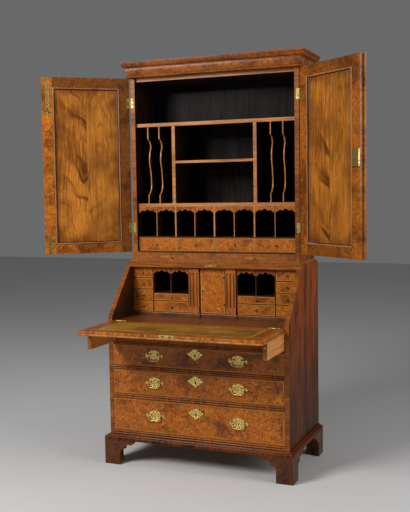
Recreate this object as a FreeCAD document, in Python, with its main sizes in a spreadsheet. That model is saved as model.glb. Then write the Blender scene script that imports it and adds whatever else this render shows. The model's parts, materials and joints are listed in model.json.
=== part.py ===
import FreeCAD, Part
import os

import Sketcher

# A bureau bookcase in walnut: a slant-fronted writing desk over three long drawers, with a fitted interior,
# and a bookcase above it behind two panelled doors. It is drawn as it stands open: both doors swung back,
# the fall let down on its lopers, and the drawers and candle slides pushed in.
#
# Millimetres. X runs to the right, Y to the back and Z up from the floor. Sizes along Y are measured from the
# front plane of the lower case, and each sub-part's placement then centres the whole object over its floor.

V = FreeCAD.Vector
doc = FreeCAD.newDocument("BureauBookcase")

SIZES = [
    # Lower case
    ("case_width", 966, "outside width of the lower case"),
    ("case_depth", 534, "depth of the lower case"),
    ("side_thick", 23, "side boards of both cases"),
    ("back_thick", 12, "back boards of both cases"),
    ("board_thick", 22, "top board and writing bed"),
    ("dust_thick", 8, "dust boards between the long drawers"),
    ("rail_depth", 70, "depth of the front rails"),
    ("bottom_rail", 25, "rail under the bottom drawer"),
    ("low_rail", 24, "rail over the bottom drawer"),
    ("high_rail", 22, "rail over the middle drawer"),
    ("loper_rail", 15, "rail under the lopers"),
    ("low_drawer", 168, "opening of the bottom drawer"),
    ("mid_drawer", 125, "opening of the middle drawer"),
    ("top_drawer", 108, "opening of the top drawer"),
    ("loper_space", 82, "height of the loper openings"),
    ("interior_height", 260, "writing level to the underside of the top"),
    ("slant_step", 19, "start of the slant above the writing level"),
    ("slant_depth", 231, "how far the slant goes back"),
    ("well_thick", 18, "frieze between the lopers"),
    ("guide_thick", 20, "guides beside the lopers"),
    # Base and feet
    ("foot_height", 128, "bracket feet"),
    ("foot_width", 86, "straight part of a foot at the floor"),
    ("foot_wing", 78, "shaped wing beside a foot"),
    ("foot_thick", 24, "boards of a foot"),
    ("foot_block", 46, "square block inside a foot"),
    ("base_height", 26, "base moulding"),
    ("base_out", 23, "projection of the base moulding"),
    ("base_in", 45, "base frame under the case"),
    # Fits
    ("seat_gap", 0.3, "running gap under and behind what slides or shuts"),
    ("side_gap", 1, "gap at each side of a drawer"),
    ("top_gap", 1.5, "gap over a drawer"),
    # Long drawers and their brasses
    ("drawer_room", 42, "space behind the long drawers"),
    ("drawer_front", 20, "front of a long drawer"),
    ("drawer_wall", 10, "sides and back of a long drawer"),
    ("drawer_floor", 7, "bottom of a long drawer"),
    ("wall_drop", 6, "sides of a drawer below its front"),
    ("handle_x", 225, "handles from the centre line"),
    ("plate_width", 105, "handle plate"),
    ("plate_height", 58, "handle plate"),
    ("lock_plate_width", 84, "escutcheon plate"),
    ("plate_thick", 2, "brass plates"),
    ("post_radius", 4.5, "posts of a handle"),
    ("post_length", 14, "posts of a handle"),
    ("post_rise", 5, "posts above the plate's middle"),
    ("post_set", 11, "posts inside the bail's arms"),
    ("bail_half", 31, "bail from its middle to its pivots"),
    ("bail_drop", 30, "bail below its pivots"),
    ("bail_bend", 17, "radius of the bail's bends"),
    ("bail_radius", 2.8, "bail's rod"),
    ("bail_out", 9, "bail's pivots in front of the drawer"),
    ("bead_size", 4.5, "bead in the middle of a bail"),
    ("key_radius", 3, "keyhole"),
    # Lopers and fall
    ("loper_thick", 20, "lopers"),
    ("loper_room", 112, "space behind a loper that is pushed in"),
    ("loper_out", 255, "lopers as drawn out"),
    ("loper_gap", 1.5, "loper beside the case side and its guide"),
    ("fall_lip", 9, "outer leaf of the fall"),
    ("fall_round", 3.5, "rounding of the fall's lip"),
    ("fall_lap", 8, "lip of the fall at each side"),
    ("fall_top_lap", 12, "lip of the fall at its free edge"),
    ("fall_gap", 2, "inner leaf of the fall beside the case sides"),
    ("joint_gap", 0.5, "fall and bed at their joint"),
    ("leather_side", 62, "veneered border beside the leather"),
    ("leather_end", 48, "veneered border behind and before the leather"),
    ("leather_thick", 1.2, "leather skiver"),
    ("fall_hinge_set", 48, "middle of a fall hinge from the fall's side"),
    ("fall_hinge_length", 56, "fall hinges"),
    ("fall_leaf", 26, "width of a fall hinge leaf"),
    ("leaf_thick", 1.6, "hinge leaves"),
    ("barrel_radius", 3.2, "hinge barrels"),
    ("pin_radius", 1.5, "hinge pins"),
    ("pin_gap", 0.3, "pin in its barrel"),
    ("fall_lock_width", 75, "lock of the fall"),
    ("fall_lock_depth", 34, "lock of the fall"),
    # Fitted interior
    ("interior_set", 13, "interior fronts behind the slant's upper end"),
    ("plinth_height", 20, "plinth of the interior"),
    ("ceiling_thick", 4, "lining under the top board"),
    ("lining_thick", 3, "linings beside the outer stacks"),
    ("partition_thick", 6, "uprights of the interior"),
    ("divider_thick", 4, "thin dividers"),
    ("shelf_thin", 3, "shelves between small drawers"),
    ("stack_width", 114, "openings of the outer stacks"),
    ("cupboard_half", 68, "half of the cupboard's opening"),
    ("pilaster_width", 57, "openings of the pilaster slides"),
    ("low_small", 56, "lower drawer under the pigeonholes"),
    ("high_small", 39, "upper drawer under the pigeonholes"),
    ("small_room", 48, "space behind the small drawers"),
    ("small_front", 9, "front of a small drawer"),
    ("small_wall", 5, "sides and back of a small drawer"),
    ("small_floor", 3, "bottom of a small drawer"),
    ("small_gap", 0.6, "gap round a small drawer"),
    ("pilaster_out", 8, "pilasters in front of the drawers"),
    ("cap_out", 5, "caps and bases in front of the pilasters"),
    ("cap_height", 24, "caps of the pilasters"),
    ("pilaster_base", 34, "bases of the pilasters"),
    ("flute_radius", 4, "flutes of the pilasters"),
    ("plinth_out", 7, "plinth moulding in front of the drawers"),
    ("cupboard_thick", 14, "cupboard door"),
    ("small_barrel", 2.4, "barrels of the cupboard hinges"),
    ("small_hinge", 26, "length of the cupboard hinges"),
    ("small_leaf", 7, "width of a cupboard hinge leaf"),
    ("small_plate_width", 18, "escutcheon of the cupboard"),
    ("small_plate_height", 38, "escutcheon of the cupboard"),
    ("valance_thick", 6, "shaped valances"),
    ("bureau_valance", 34, "depth of the bureau's valances"),
    ("knob_head", 5.5, "small knobs"),
    ("knob_length", 13, "small knobs"),
    # Bookcase
    ("upper_set", 20.5, "bookcase inside the lower case at each side"),
    ("upper_front", 266, "front edges of the bookcase sides"),
    ("upper_bottom", 20, "bottom board"),
    ("slide_space", 31, "space for the candle slides"),
    ("floor_thick", 7, "board under the upper drawers"),
    ("upper_drawer", 71, "openings of the upper drawers"),
    ("drawer_shelf", 6, "board over the upper drawers"),
    ("upper_hole", 158, "pigeonholes of the bookcase"),
    ("shelf_thick", 18, "full shelves"),
    ("folio_height", 405, "folio spaces"),
    ("top_space", 221, "space over the upper shelf"),
    ("upper_top", 20, "top board of the bookcase"),
    ("fit_set", 16, "fittings behind the front edges of the sides"),
    ("centre_half", 217, "half of the centre bay"),
    ("upright_thick", 18, "uprights of the centre bay"),
    ("centre_rise", 210, "centre shelf above the one below"),
    ("centre_thick", 13, "centre shelf"),
    ("hole_upright", 8, "stout dividers of the pigeonholes"),
    ("folio_thick", 6, "folio dividers"),
    ("folio_scoop", 34, "hollows in the front edge of a folio divider"),
    ("upper_valance", 32, "depth of the bookcase's valances"),
    ("upper_room", 25, "space behind the upper drawers"),
    ("candle_x", 160, "candle slides from the centre line"),
    ("candle_width", 138, "candle slides"),
    ("candle_height", 20, "candle slides"),
    ("candle_room", 61, "space behind a candle slide that is pushed in"),
    ("rail_front", 20, "thickness of the bookcase's base rail"),
    ("waist_height", 13, "waist moulding"),
    ("waist_out", 13, "projection of the waist moulding"),
    ("cornice_height", 80, "cornice"),
    ("cornice_out", 40, "projection of the cornice"),
    ("cornice_base", 6, "cornice core in front of the side edges"),
    # Doors
    ("door_thick", 20, "doors"),
    ("door_low", 2, "door above the base rail"),
    ("door_high", 2, "door below the cornice"),
    ("stile_width", 55, "stiles"),
    ("door_rail", 52, "rails"),
    ("panel_thick", 9, "panels"),
    ("panel_set", 6, "panel behind the inner face"),
    ("field_edge", 46, "bevel round the fielded panel"),
    ("bead_width", 13, "moulding round the panel"),
    ("bead_rise", 3, "bead round the panel above the frame"),
    ("pin_out", 3.6, "hinge pins beside the case"),
    ("pin_set", 1.2, "hinge pins in front of the door's inner face"),
    ("meet_gap", 0.8, "half of the gap between the doors"),
    ("door_angle", 141, "doors as swung open, in degrees"),
    ("hinge_length", 50, "door hinges"),
    ("hinge_leaf", 15, "width of a door hinge leaf"),
    ("hinge_end", 130, "middle of a hinge from the end of a door"),
    ("astragal_width", 24, "astragal on the right-hand door"),
    ("astragal_lap", 12, "astragal over the left-hand door"),
    ("astragal_thick", 6, "astragal"),
    ("bolt_width", 8, "flush bolts"),
    ("bolt_thick", 6, "flush bolts"),
    ("bolt_plate", 20, "width of the bolt plates"),
    ("bolt_tip", 26, "shaped end of a bolt plate"),
    ("bolt_knob", 5.5, "radius of a bolt's knob"),
    ("bolt_long", 205, "upper bolt plate"),
    ("bolt_short", 107, "lower bolt plate"),
    ("bolt_travel", 14, "travel of a bolt"),
    ("bolt_gap", 0.5, "bolt in its groove"),
    ("lock_width", 48, "door lock"),
    ("lock_height", 80, "door lock"),
    ("lock_thick", 9, "door lock"),
]

sheet = doc.addObject("Spreadsheet::Sheet", "Sizes")
for row, (alias, value, note) in enumerate(SIZES, 1):
    sheet.set(f"A{row}", note)
    sheet.set(f"B{row}", str(value))
    sheet.setAlias(f"B{row}", alias)
doc.recompute()


class Size:
    """A length, with the sheet formula that it comes from."""

    def __init__(self, value, text):
        self.value = value
        self.text = text

    def __float__(self):
        return float(self.value)

    def __neg__(self):
        return Size(-self.value, f"-({self.text})")

    def __add__(self, other):
        return Size(self.value + number(other), f"({self.text} + {words(other)})")

    __radd__ = __add__

    def __sub__(self, other):
        return Size(self.value - number(other), f"({self.text} - {words(other)})")

    def __rsub__(self, other):
        return -self + other

    def __mul__(self, other):
        return Size(self.value * number(other), f"({self.text} * {words(other)})")

    __rmul__ = __mul__

    def __truediv__(self, other):
        return Size(self.value / number(other), f"({self.text} / {words(other)})")


def number(item):
    return item.value if isinstance(item, Size) else item


def words(item):
    return item.text if isinstance(item, Size) else repr(item)


def root(size):
    return Size(size.value**0.5, f"sqrt({size.text})")


def bind(item, prop, size):
    item.setExpression(prop, words(size))


def vec(x, y, z):
    return V(float(x), float(y), float(z))


class Sizes:
    """The sheet's cells, as attributes."""

    def __getattr__(self, alias):
        return Size(sheet.get(alias), f"Sizes.{alias}")


s = Sizes()

# Levels and planes that several sub-parts share

half = s.case_width / 2
inner = half - s.side_thick
case_back = s.case_depth - s.back_thick
base_top = s.foot_height + s.base_height
low_floor = base_top + s.bottom_rail
mid_floor = low_floor + s.low_drawer + s.low_rail
top_floor = mid_floor + s.mid_drawer + s.high_rail
loper_floor = top_floor + s.top_drawer + s.loper_rail
bed_under = loper_floor + s.loper_space
bed_top = bed_under + s.board_thick
top_under = bed_top + s.interior_height
bureau_top = top_under + s.board_thick
slant_foot = bed_top + s.slant_step

# The fall shuts against the slant, so its thickness and length follow from the slant's run and rise
slant_rise = bureau_top - slant_foot
slant_length = root(s.slant_depth * s.slant_depth + slant_rise * slant_rise)
slant_run_share = s.slant_depth / slant_length
slant_rise_share = slant_rise / slant_length
fall_inner = s.slant_step * slant_run_share + s.seat_gap
fall_thick = fall_inner + s.fall_lip
fall_reach = (s.interior_height - s.seat_gap * 2 - fall_inner * slant_run_share) / slant_rise_share
fall_length = fall_reach + s.fall_top_lap
fall_half = inner - s.fall_gap
fall_hinge_x = fall_half - s.fall_hinge_set
front_y = (fall_length - s.case_depth) / 2

upper_half = half - s.upper_set
upper_inner = upper_half - s.side_thick
rail_top = bureau_top + s.upper_bottom + s.slide_space
rail_plane = s.upper_front - s.rail_front - s.seat_gap
upper_floor = rail_top + s.floor_thick
hole_floor = upper_floor + s.upper_drawer + s.drawer_shelf
folio_under = hole_floor + s.upper_hole
folio_floor = folio_under + s.shelf_thick
folio_top = folio_floor + s.folio_height
top_floor_upper = folio_top + s.shelf_thick
upper_under = top_floor_upper + s.top_space
upper_top = upper_under + s.upper_top
fit_plane = s.upper_front + s.fit_set

SIDES = {"left": -1, "right": 1}


def span(side, near, far):
    """The stretch from near to far of the centre line, on the left (-1) or on the right (1)."""
    return (near, far) if side > 0 else (-far, -near)


def about(middle, length):
    return (middle - length / 2, middle + length / 2)


def board(name, x, y, z):
    """A plain board between two planes on each axis."""
    box = doc.addObject("Part::Box", name)
    for measure, axis, (low, high) in zip(("Length", "Width", "Height"), "xyz", (x, y, z)):
        bind(box, measure, high - low)
        bind(box, f"Placement.Base.{axis}", low)
    return box


def cut(name, base, tools):
    """A piece with pockets, notches or grooves cut in it."""
    if len(tools) == 1:
        waste = tools[0]
    else:
        waste = doc.addObject("Part::MultiFuse", name + "_waste")
        waste.Shapes = tools
    result = doc.addObject("Part::Cut", name)
    result.Base = base
    result.Tool = waste
    return result


ROTATE = {
    "x": FreeCAD.Rotation(V(0, 1, 0), 90),
    "y": FreeCAD.Rotation(V(1, 0, 0), -90),
    "z": FreeCAD.Rotation(),
}


def rod(name, along, radius, start, length, arc=360, turn=FreeCAD.Rotation()):
    """A round bar, or with a smaller arc a half-round one, along an axis from a start point."""
    bar = doc.addObject("Part::Cylinder", name)
    bar.Placement = FreeCAD.Placement(V(), turn * ROTATE[along])
    bar.Angle = arc
    bind(bar, "Radius", radius)
    bind(bar, "Height", length)
    for axis, value in zip("xyz", start):
        bind(bar, f"Placement.Base.{axis}", value)
    return bar


def rounded(name, base, radius, chosen):
    """A piece with some of its edges rounded: those whose middle point is chosen."""
    doc.recompute()
    result = doc.addObject("Part::Fillet", name)
    result.Base = base
    result.Edges = [
        (index, float(radius), float(radius))
        for index, edge in enumerate(base.Shape.Edges, 1)
        if chosen(edge.valueAt((edge.FirstParameter + edge.LastParameter) / 2))
    ]
    return result


def shaped(name, plane, outline, start, thick):
    """A board sawn to straight lines: a sketch on one of the body's planes, padded along +X, +Y or +Z."""
    body = doc.addObject("PartDesign::Body", name)
    sketch = body.newObject("Sketcher::SketchObject", name + "_outline")
    support = next(face for face in body.Origin.OriginFeatures if face.Role == plane)
    sketch.AttachmentSupport = [(support, "")]
    sketch.MapMode = "FlatFace"
    count = len(outline)
    for here, there in zip(outline, outline[1:] + outline[:1]):
        sketch.addGeometry(Part.LineSegment(vec(*here, 0), vec(*there, 0)), False)
    for line in range(count):
        sketch.addConstraint(Sketcher.Constraint("Coincident", line, 2, (line + 1) % count, 1))
    for line, corner in enumerate(outline):
        for kind, axis_line, place in zip(("DistanceX", "DistanceY"), (-2, -1), corner):
            if number(place) == 0:
                sketch.addConstraint(Sketcher.Constraint("PointOnObject", line, 1, axis_line))
            else:
                index = sketch.addConstraint(Sketcher.Constraint(kind, -1, 1, line, 1, float(place)))
                bind(sketch, f"Constraints[{index}]", place)
    pad = body.newObject("PartDesign::Pad", name + "_pad")
    pad.Profile = sketch
    faces_front = plane == "XZ_Plane"
    pad.Reversed = faces_front
    bind(pad, "Length", thick)
    bind(sketch, "AttachmentOffset.Base.z", -start if faces_front else start)
    return body


def outline_wire(steps, place):
    """A closed wire. A step is a corner, or a bend and the corner after it; place sets it in space."""
    corners = [step[-1] for step in steps]
    edges = []
    for last, step in zip(corners[-1:] + corners[:-1], steps):
        points = [place(*last)] + [place(*point) for point in step]
        edges.append((Part.LineSegment(*points) if len(points) == 2 else Part.Arc(*points)).toShape())
    return Part.Wire(edges)


def drawn(shares, wide, high, x=0, z=0):
    """An outline or a profile in shares of a width and a height, from a corner at x and z."""
    return [[(x + wide * a, z + high * b) for a, b in step] for step in shares]


def solid(name, shape):
    piece = doc.addObject("Part::Feature", name)
    piece.Shape = shape
    piece.Placement = FreeCAD.Placement()
    return piece


def sawn(name, plane, steps, start, thick):
    """A board sawn to a curved outline that faces the front (xz) or a side (yz)."""
    if plane == "xz":
        wire = outline_wire(steps, lambda across, up: vec(across, start, up))
        run = vec(0, thick, 0)
    else:
        wire = outline_wire(steps, lambda across, up: vec(start, across, up))
        run = vec(thick, 0, 0)
    return solid(name, Part.Face(wire).extrude(run))


def mitred(name, stations, up, steps, closed=False):
    """Lengths of a moulding between mitred stations. Each is a point and the way out along its mitre."""
    pairs = list(zip(stations, stations[1:] + stations[:1]))
    if not closed:
        pairs = pairs[:-1]
    pieces = []
    for index, pair in enumerate(pairs, 1):
        wires = []
        for point, out in pair:
            wires.append(
                outline_wire(steps, lambda far, high, p=point, o=out: p + o * float(far) + up * float(high)))
        pieces.append(solid(f"{name}_{index}", Part.makeLoft(wires, True, True)))
    return pieces


def round_three_sides(x, front, back, level):
    """Stations of a moulding along the left side, the front and the right side of a case."""
    return [
        (vec(-x, back, level), V(-1, 0, 0)),
        (vec(-x, front, level), V(-1, -1, 0)),
        (vec(x, front, level), V(1, -1, 0)),
        (vec(x, back, level), V(1, 0, 0)),
    ]


nodes = []


def node(name, pieces, place=(0, 0, 0), turn=0):
    """A named sub-part: its pieces together, at their place in the object, turned about the upright axis."""
    group = doc.addObject("Part::Compound", name)
    group.Label = name
    group.Links = pieces
    group.Placement = FreeCAD.Placement(V(), FreeCAD.Rotation(V(0, 0, 1), float(turn)))
    x, y, z = place
    bind(group, "Placement.Base.x", x)
    bind(group, "Placement.Base.y", front_y + y)
    bind(group, "Placement.Base.z", z)
    if number(turn):
        bind(group, "Placement.Rotation.Angle", turn)
    nodes.append(group)
    return group


# The turned brass knob that small drawers, slides and lopers share

KNOB_SHARES = [(0, 0), (0.8, 0), (0.8, 0.1), (0.4, 0.2), (0.4, 0.45), (1, 0.68), (1, 0.82), (0.6, 1), (0, 1)]


def knob(name, x, y, z):
    """A knob that stands out to the front from a point on the surface that carries it."""
    steps = [[(s.knob_head * wide, s.knob_length * far)] for wide, far in KNOB_SHARES]
    wire = outline_wire(steps, lambda wide, far: vec(wide, -far, 0))
    turned = Part.Face(wire).revolve(V(), V(0, 1, 0), 360)
    piece = solid(name, turned)
    for axis, value in zip("xyz", (x, y, z)):
        bind(piece, f"Placement.Base.{axis}", value)
    return piece


# Right-hand halves of the plates' outlines, from the crown round to the drop at the foot
HANDLE_PLATE_SHARES = [
    (0, 0.94), (0.08, 0.84), (0.18, 1), (0.28, 0.76), (0.4, 0.86), (0.46, 0.62), (0.58, 0.56), (0.54, 0.36),
    (0.6, 0.16), (0.7, 0.14), (0.76, 0.42), (0.86, 0.22), (1, 0), (0.86, -0.22), (0.76, -0.42), (0.7, -0.14),
    (0.6, -0.16), (0.55, -0.4), (0.46, -0.54), (0.42, -0.74), (0.28, -0.66), (0.2, -0.86), (0.08, -0.78),
    (0, -1),
]
KEY_PLATE_SHARES = [
    (0, 0.9), (0.1, 1), (0.2, 0.8), (0.36, 0.92), (0.42, 0.62), (0.6, 0.6), (0.66, 0.26), (0.8, 0.32),
    (1, 0.06), (0.8, -0.08), (0.62, -0.34), (0.5, -0.38), (0.42, -0.64), (0.26, -0.62), (0.14, -0.86),
    (0, -1),
]


def plate(name, half_shares, x, z, width, height, face):
    """A cast brass plate with a cusped outline, on a face that looks to the front."""
    shares = half_shares + [(-a, b) for a, b in reversed(half_shares[1:-1])]
    outline = drawn([[point] for point in shares], width / 2, height / 2, x, z)
    return sawn(name, "xz", outline, face - s.plate_thick, s.plate_thick)


def drawer(name, x, z, front_plane, depth, front, wall, floor):
    """An open drawer box: front, two sides, back and bottom."""
    left, right = x
    low, high = z
    behind = front_plane + front
    back = front_plane + depth
    rim = high - s.wall_drop
    return [
        board(name + "_front", x, (front_plane, behind), z),
        board(name + "_left", (left, left + wall), (behind, back), (low, rim)),
        board(name + "_right", (right - wall, right), (behind, back), (low, rim)),
        board(name + "_back", (left + wall, right - wall), (back - wall, back), (low, rim)),
        board(name + "_floor", (left + wall, right - wall), (behind, back - wall), (low, low + floor)),
    ]


def small_drawer(name, x, z, front_plane, depth):
    """A small drawer with its knob, in an opening given by its sides, floor and top."""
    fit_x = (x[0] + s.small_gap, x[1] - s.small_gap)
    fit_z = (z[0] + s.seat_gap, z[1] - s.small_gap)
    pieces = drawer(name, fit_x, fit_z, front_plane, depth, s.small_front, s.small_wall, s.small_floor)
    pieces.append(knob(name + "_knob", (x[0] + x[1]) / 2, front_plane, (z[0] + z[1]) / 2))
    return node(name, pieces)


# Sides of the lower case, sawn to the slant

side_outline = [
    (0, base_top),
    (s.case_depth, base_top),
    (s.case_depth, bureau_top),
    (s.slant_depth, bureau_top),
    (0, slant_foot),
]
node("bureau_sides", [
    shaped("bureau_side_left", "YZ_Plane", side_outline, -half, s.side_thick),
    shaped("bureau_side_right", "YZ_Plane", side_outline, inner, s.side_thick),
])

# Boards between the sides: top, writing bed, dust boards and bottom. The bed is notched for the hinges of
# the fall.

top_edge = s.slant_depth - s.board_thick * s.slant_depth / slant_rise
top_outline = [
    (top_edge, top_under), (case_back, top_under), (case_back, bureau_top), (s.slant_depth, bureau_top)]
across = (-inner, inner)
barrel_room = s.barrel_radius + s.pin_gap
bed_notches = []
fall_notches = []
for word, side in SIDES.items():
    hinge_span = about(side * fall_hinge_x, s.fall_hinge_length)
    below = bed_top - barrel_room
    bed_notches.append(board(f"bed_barrel_{word}", hinge_span, (0, barrel_room), (below, bed_top)))
    bed_notches.append(
        board(f"bed_leaf_{word}", hinge_span, (barrel_room, s.fall_leaf), (bed_top - s.leaf_thick, bed_top)))
    fall_notches.append(board(f"fall_barrel_{word}", hinge_span, (-barrel_room, 0), (below, bed_top)))
    leaf_span = (-s.fall_leaf, -barrel_room)
    fall_notches.append(board(f"fall_leaf_{word}", hinge_span, leaf_span, (bed_top - s.leaf_thick, bed_top)))
bed = board("bed", across, (s.joint_gap, case_back), (bed_under, bed_top))
boards = [
    shaped("top_board", "YZ_Plane", top_outline, -inner, inner * 2),
    cut("writing_bed", bed, bed_notches),
]
for word, level in (("bottom", low_floor), ("low", mid_floor), ("high", top_floor), ("loper", loper_floor)):
    boards.append(board(f"dust_{word}", across, (s.rail_depth, case_back), (level - s.dust_thick, level)))
node("bureau_boards", boards)


def back_boards(name, x, low, high, count):
    """Upright boards side by side across a back."""
    width = x * 2 / count
    return [
        board(f"{name}_{i}", (-x + width * i, -x + width * (i + 1)), (case_back, s.case_depth), (low, high))
        for i in range(count)
    ]


BUREAU_BACK_COUNT = 5
node("bureau_back", back_boards("bureau_back_board", inner, base_top, bureau_top, BUREAU_BACK_COUNT))

# Front rails, each faced with a double bead

BEAD_SHARE = 0.2
BEAD_SHARES = (0.27, 0.73)
FLAT_BEHIND = FreeCAD.Rotation(V(1, 0, 0), 180)
rails = []
for word, top, height in (
    ("bottom", low_floor, s.bottom_rail),
    ("low", mid_floor, s.low_rail),
    ("high", top_floor, s.high_rail),
    ("loper", loper_floor, s.loper_rail),
):
    rails.append(board(f"rail_{word}", across, (0, s.rail_depth), (top - height, top)))
    for index, share in enumerate(BEAD_SHARES):
        start = (-inner, 0, top - height * share)
        bead_name = f"bead_{word}_{index}"
        rails.append(rod(bead_name, "x", height * BEAD_SHARE, start, inner * 2, 180, FLAT_BEHIND))
node("drawer_rails", rails)

# Frieze between the lopers, and the guides that the lopers run beside

loper_far = inner - s.loper_gap
loper_near = loper_far - s.loper_thick
guide_far = loper_near - s.loper_gap
guide_near = guide_far - s.guide_thick
well = [board("frieze", (-guide_far, guide_far), (0, s.well_thick), (loper_floor, bed_under))]
for word, side in SIDES.items():
    run = (s.well_thick, case_back)
    well.append(board(f"guide_{word}", span(side, guide_near, guide_far), run, (loper_floor, bed_under)))
node("well_front", well)

# Base frame under the case, moulded on its front and sides

BASE_SHARES = [[(1, 0)], [(1, 0.38)], [(0.86, 0.68), (0.48, 0.76)], [(0.3, 1)]]
base_profile = drawn(BASE_SHARES, s.base_out, s.base_height)
base_profile = [[(-s.base_in, 0)]] + base_profile + [[(-s.base_in, s.base_height)]]
base = mitred("base", round_three_sides(half, 0, s.case_depth, s.foot_height), V(0, 0, 1), base_profile)
frame_in = half - s.base_in
base.append(board("base_back", (-frame_in, frame_in), (s.case_depth - s.base_in, s.case_depth),
                  (s.foot_height, base_top)))
node("base_moulding", base)

# Bracket feet: shaped boards at each corner, with a square block inside

WING_SHARES = [
    [(0, 0.5)], [(0.1, 0.62), (0.33, 0.66)], [(0.42, 0.8), (0.72, 0.83)], [(0.9, 0.86), (1, 0.97)], [(1, 1)]]


def bracket(outer, way, wide):
    """Outline of a bracket foot from its outer edge, towards way: straight foot, knee and cusped wing."""
    foot = outer + way * wide
    straight = [[(outer, s.foot_height)], [(outer, 0)], [(foot, 0)]]
    return straight + drawn(WING_SHARES, way * s.foot_wing, s.foot_height, foot)


foot_x = half + s.base_out
foot_y = -s.base_out
feet = []
for word, side in SIDES.items():
    edge = span(side, foot_x - s.foot_thick, foot_x)
    rear = s.case_depth - s.foot_thick
    behind = foot_y + s.foot_thick
    short = s.foot_width - s.foot_thick
    face = bracket(side * foot_x, -side, s.foot_width)
    feet.append(sawn(f"foot_front_{word}", "xz", face, foot_y, s.foot_thick))
    feet.append(sawn(f"foot_side_{word}", "yz", bracket(behind, 1, short), edge[0], s.foot_thick))
    feet.append(sawn(f"foot_rear_{word}", "xz", face, rear, s.foot_thick))
    feet.append(sawn(f"foot_rear_side_{word}", "yz", bracket(rear, -1, short), edge[0], s.foot_thick))
    block = span(side, foot_x - s.foot_thick - s.foot_block, foot_x - s.foot_thick)
    feet.append(board(f"block_front_{word}", block, (behind, behind + s.foot_block), (0, s.foot_height)))
    feet.append(board(f"block_rear_{word}", block, (rear - s.foot_block, rear), (0, s.foot_height)))
node("bracket_feet", feet)

# Fitted interior of the bureau: plinth, uprights, shelves and mouldings

fit_front = s.slant_depth + s.interior_set
plinth_top = bed_top + s.plinth_height
ceiling = top_under - s.ceiling_thick
stack_far = inner - s.lining_thick
stack_near = stack_far - s.stack_width
hole_far = stack_near - s.partition_thick
cupboard_half = s.cupboard_half
pilaster_near = cupboard_half + s.partition_thick
pilaster_far = pilaster_near + s.pilaster_width
hole_near = pilaster_far + s.partition_thick
hole_width = (hole_far - hole_near - s.divider_thick) / 2
small_depth = case_back - fit_front - s.small_room
low_shelf = plinth_top + s.low_small
hole_shelf = low_shelf + s.shelf_thin + s.high_small
bureau_hole_floor = hole_shelf + s.shelf_thin
STACK_COUNT = 4
stack_pitch = (ceiling - plinth_top + s.shelf_thin) / STACK_COUNT
run = (fit_front, case_back)
tall = (plinth_top, ceiling)
carcase = [
    board("interior_plinth", across, run, (bed_top, plinth_top)),
    board("interior_ceiling", across, run, (ceiling, top_under)),
]
for word, side in SIDES.items():
    carcase.append(board(f"lining_{word}", span(side, stack_far, inner), run, tall))
    for title, near in (("stack", hole_far), ("hole", pilaster_far), ("cupboard", cupboard_half)):
        thickness = span(side, near, near + s.partition_thick)
        carcase.append(board(f"upright_{title}_{word}", thickness, run, tall))
    for i in range(1, STACK_COUNT):
        level = plinth_top + stack_pitch * i - s.shelf_thin
        stack = span(side, stack_near, stack_far)
        carcase.append(board(f"stack_shelf_{word}_{i}", stack, run, (level, level + s.shelf_thin)))
    pair = span(side, hole_near, hole_far)
    carcase.append(board(f"low_shelf_{word}", pair, run, (low_shelf, low_shelf + s.shelf_thin)))
    carcase.append(board(f"hole_shelf_{word}", pair, run, (hole_shelf, bureau_hole_floor)))
    middle = hole_near + hole_width
    thickness = span(side, middle, middle + s.divider_thick)
    carcase.append(board(f"hole_divider_{word}", thickness, run, (bureau_hole_floor, ceiling)))

# The plinth's moulding breaks forward under each pilaster
PLINTH_SHARES = [[(0, 0)], [(1, 0)], [(1, 0.55)], [(0.8, 0.85), (0.35, 1)], [(0, 1)]]
plinth_profile = drawn(PLINTH_SHARES, s.plinth_out, s.plinth_height)
step = s.pilaster_out
plinth_run = [(vec(-inner, fit_front, bed_top), V(0, -1, 0))]
for left, right in (span(-1, pilaster_near, pilaster_far), span(1, pilaster_near, pilaster_far)):
    plinth_run += [
        (vec(left, fit_front, bed_top), V(-1, -1, 0)),
        (vec(left, fit_front - step, bed_top), V(-1, -1, 0)),
        (vec(right, fit_front - step, bed_top), V(1, -1, 0)),
        (vec(right, fit_front, bed_top), V(1, -1, 0)),
    ]
    blocks = (fit_front - step, fit_front)
    carcase.append(board("plinth_block", (left, right), blocks, (bed_top, plinth_top)))
plinth_run.append((vec(inner, fit_front, bed_top), V(0, -1, 0)))
carcase += mitred("plinth_moulding", plinth_run, V(0, 0, 1), plinth_profile)
node("interior_carcase", carcase)

# Small drawers of the interior: a stack of four at each end and two under each pair of pigeonholes

for word, side in SIDES.items():
    for i in range(STACK_COUNT):
        level = plinth_top + stack_pitch * (STACK_COUNT - 1 - i)
        opening = (level, level + stack_pitch - s.shelf_thin)
        stack = span(side, stack_near, stack_far)
        small_drawer(f"{word}_stack_drawer_{i + 1}", stack, opening, fit_front, small_depth)
    pair = span(side, hole_near, hole_far)
    upper_opening = (low_shelf + s.shelf_thin, hole_shelf)
    small_drawer(f"{word}_under_drawer_upper", pair, upper_opening, fit_front, small_depth)
    small_drawer(f"{word}_under_drawer_lower", pair, (plinth_top, low_shelf), fit_front, small_depth)

# Pilasters beside the cupboard: each is the front of a tall document slide

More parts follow.
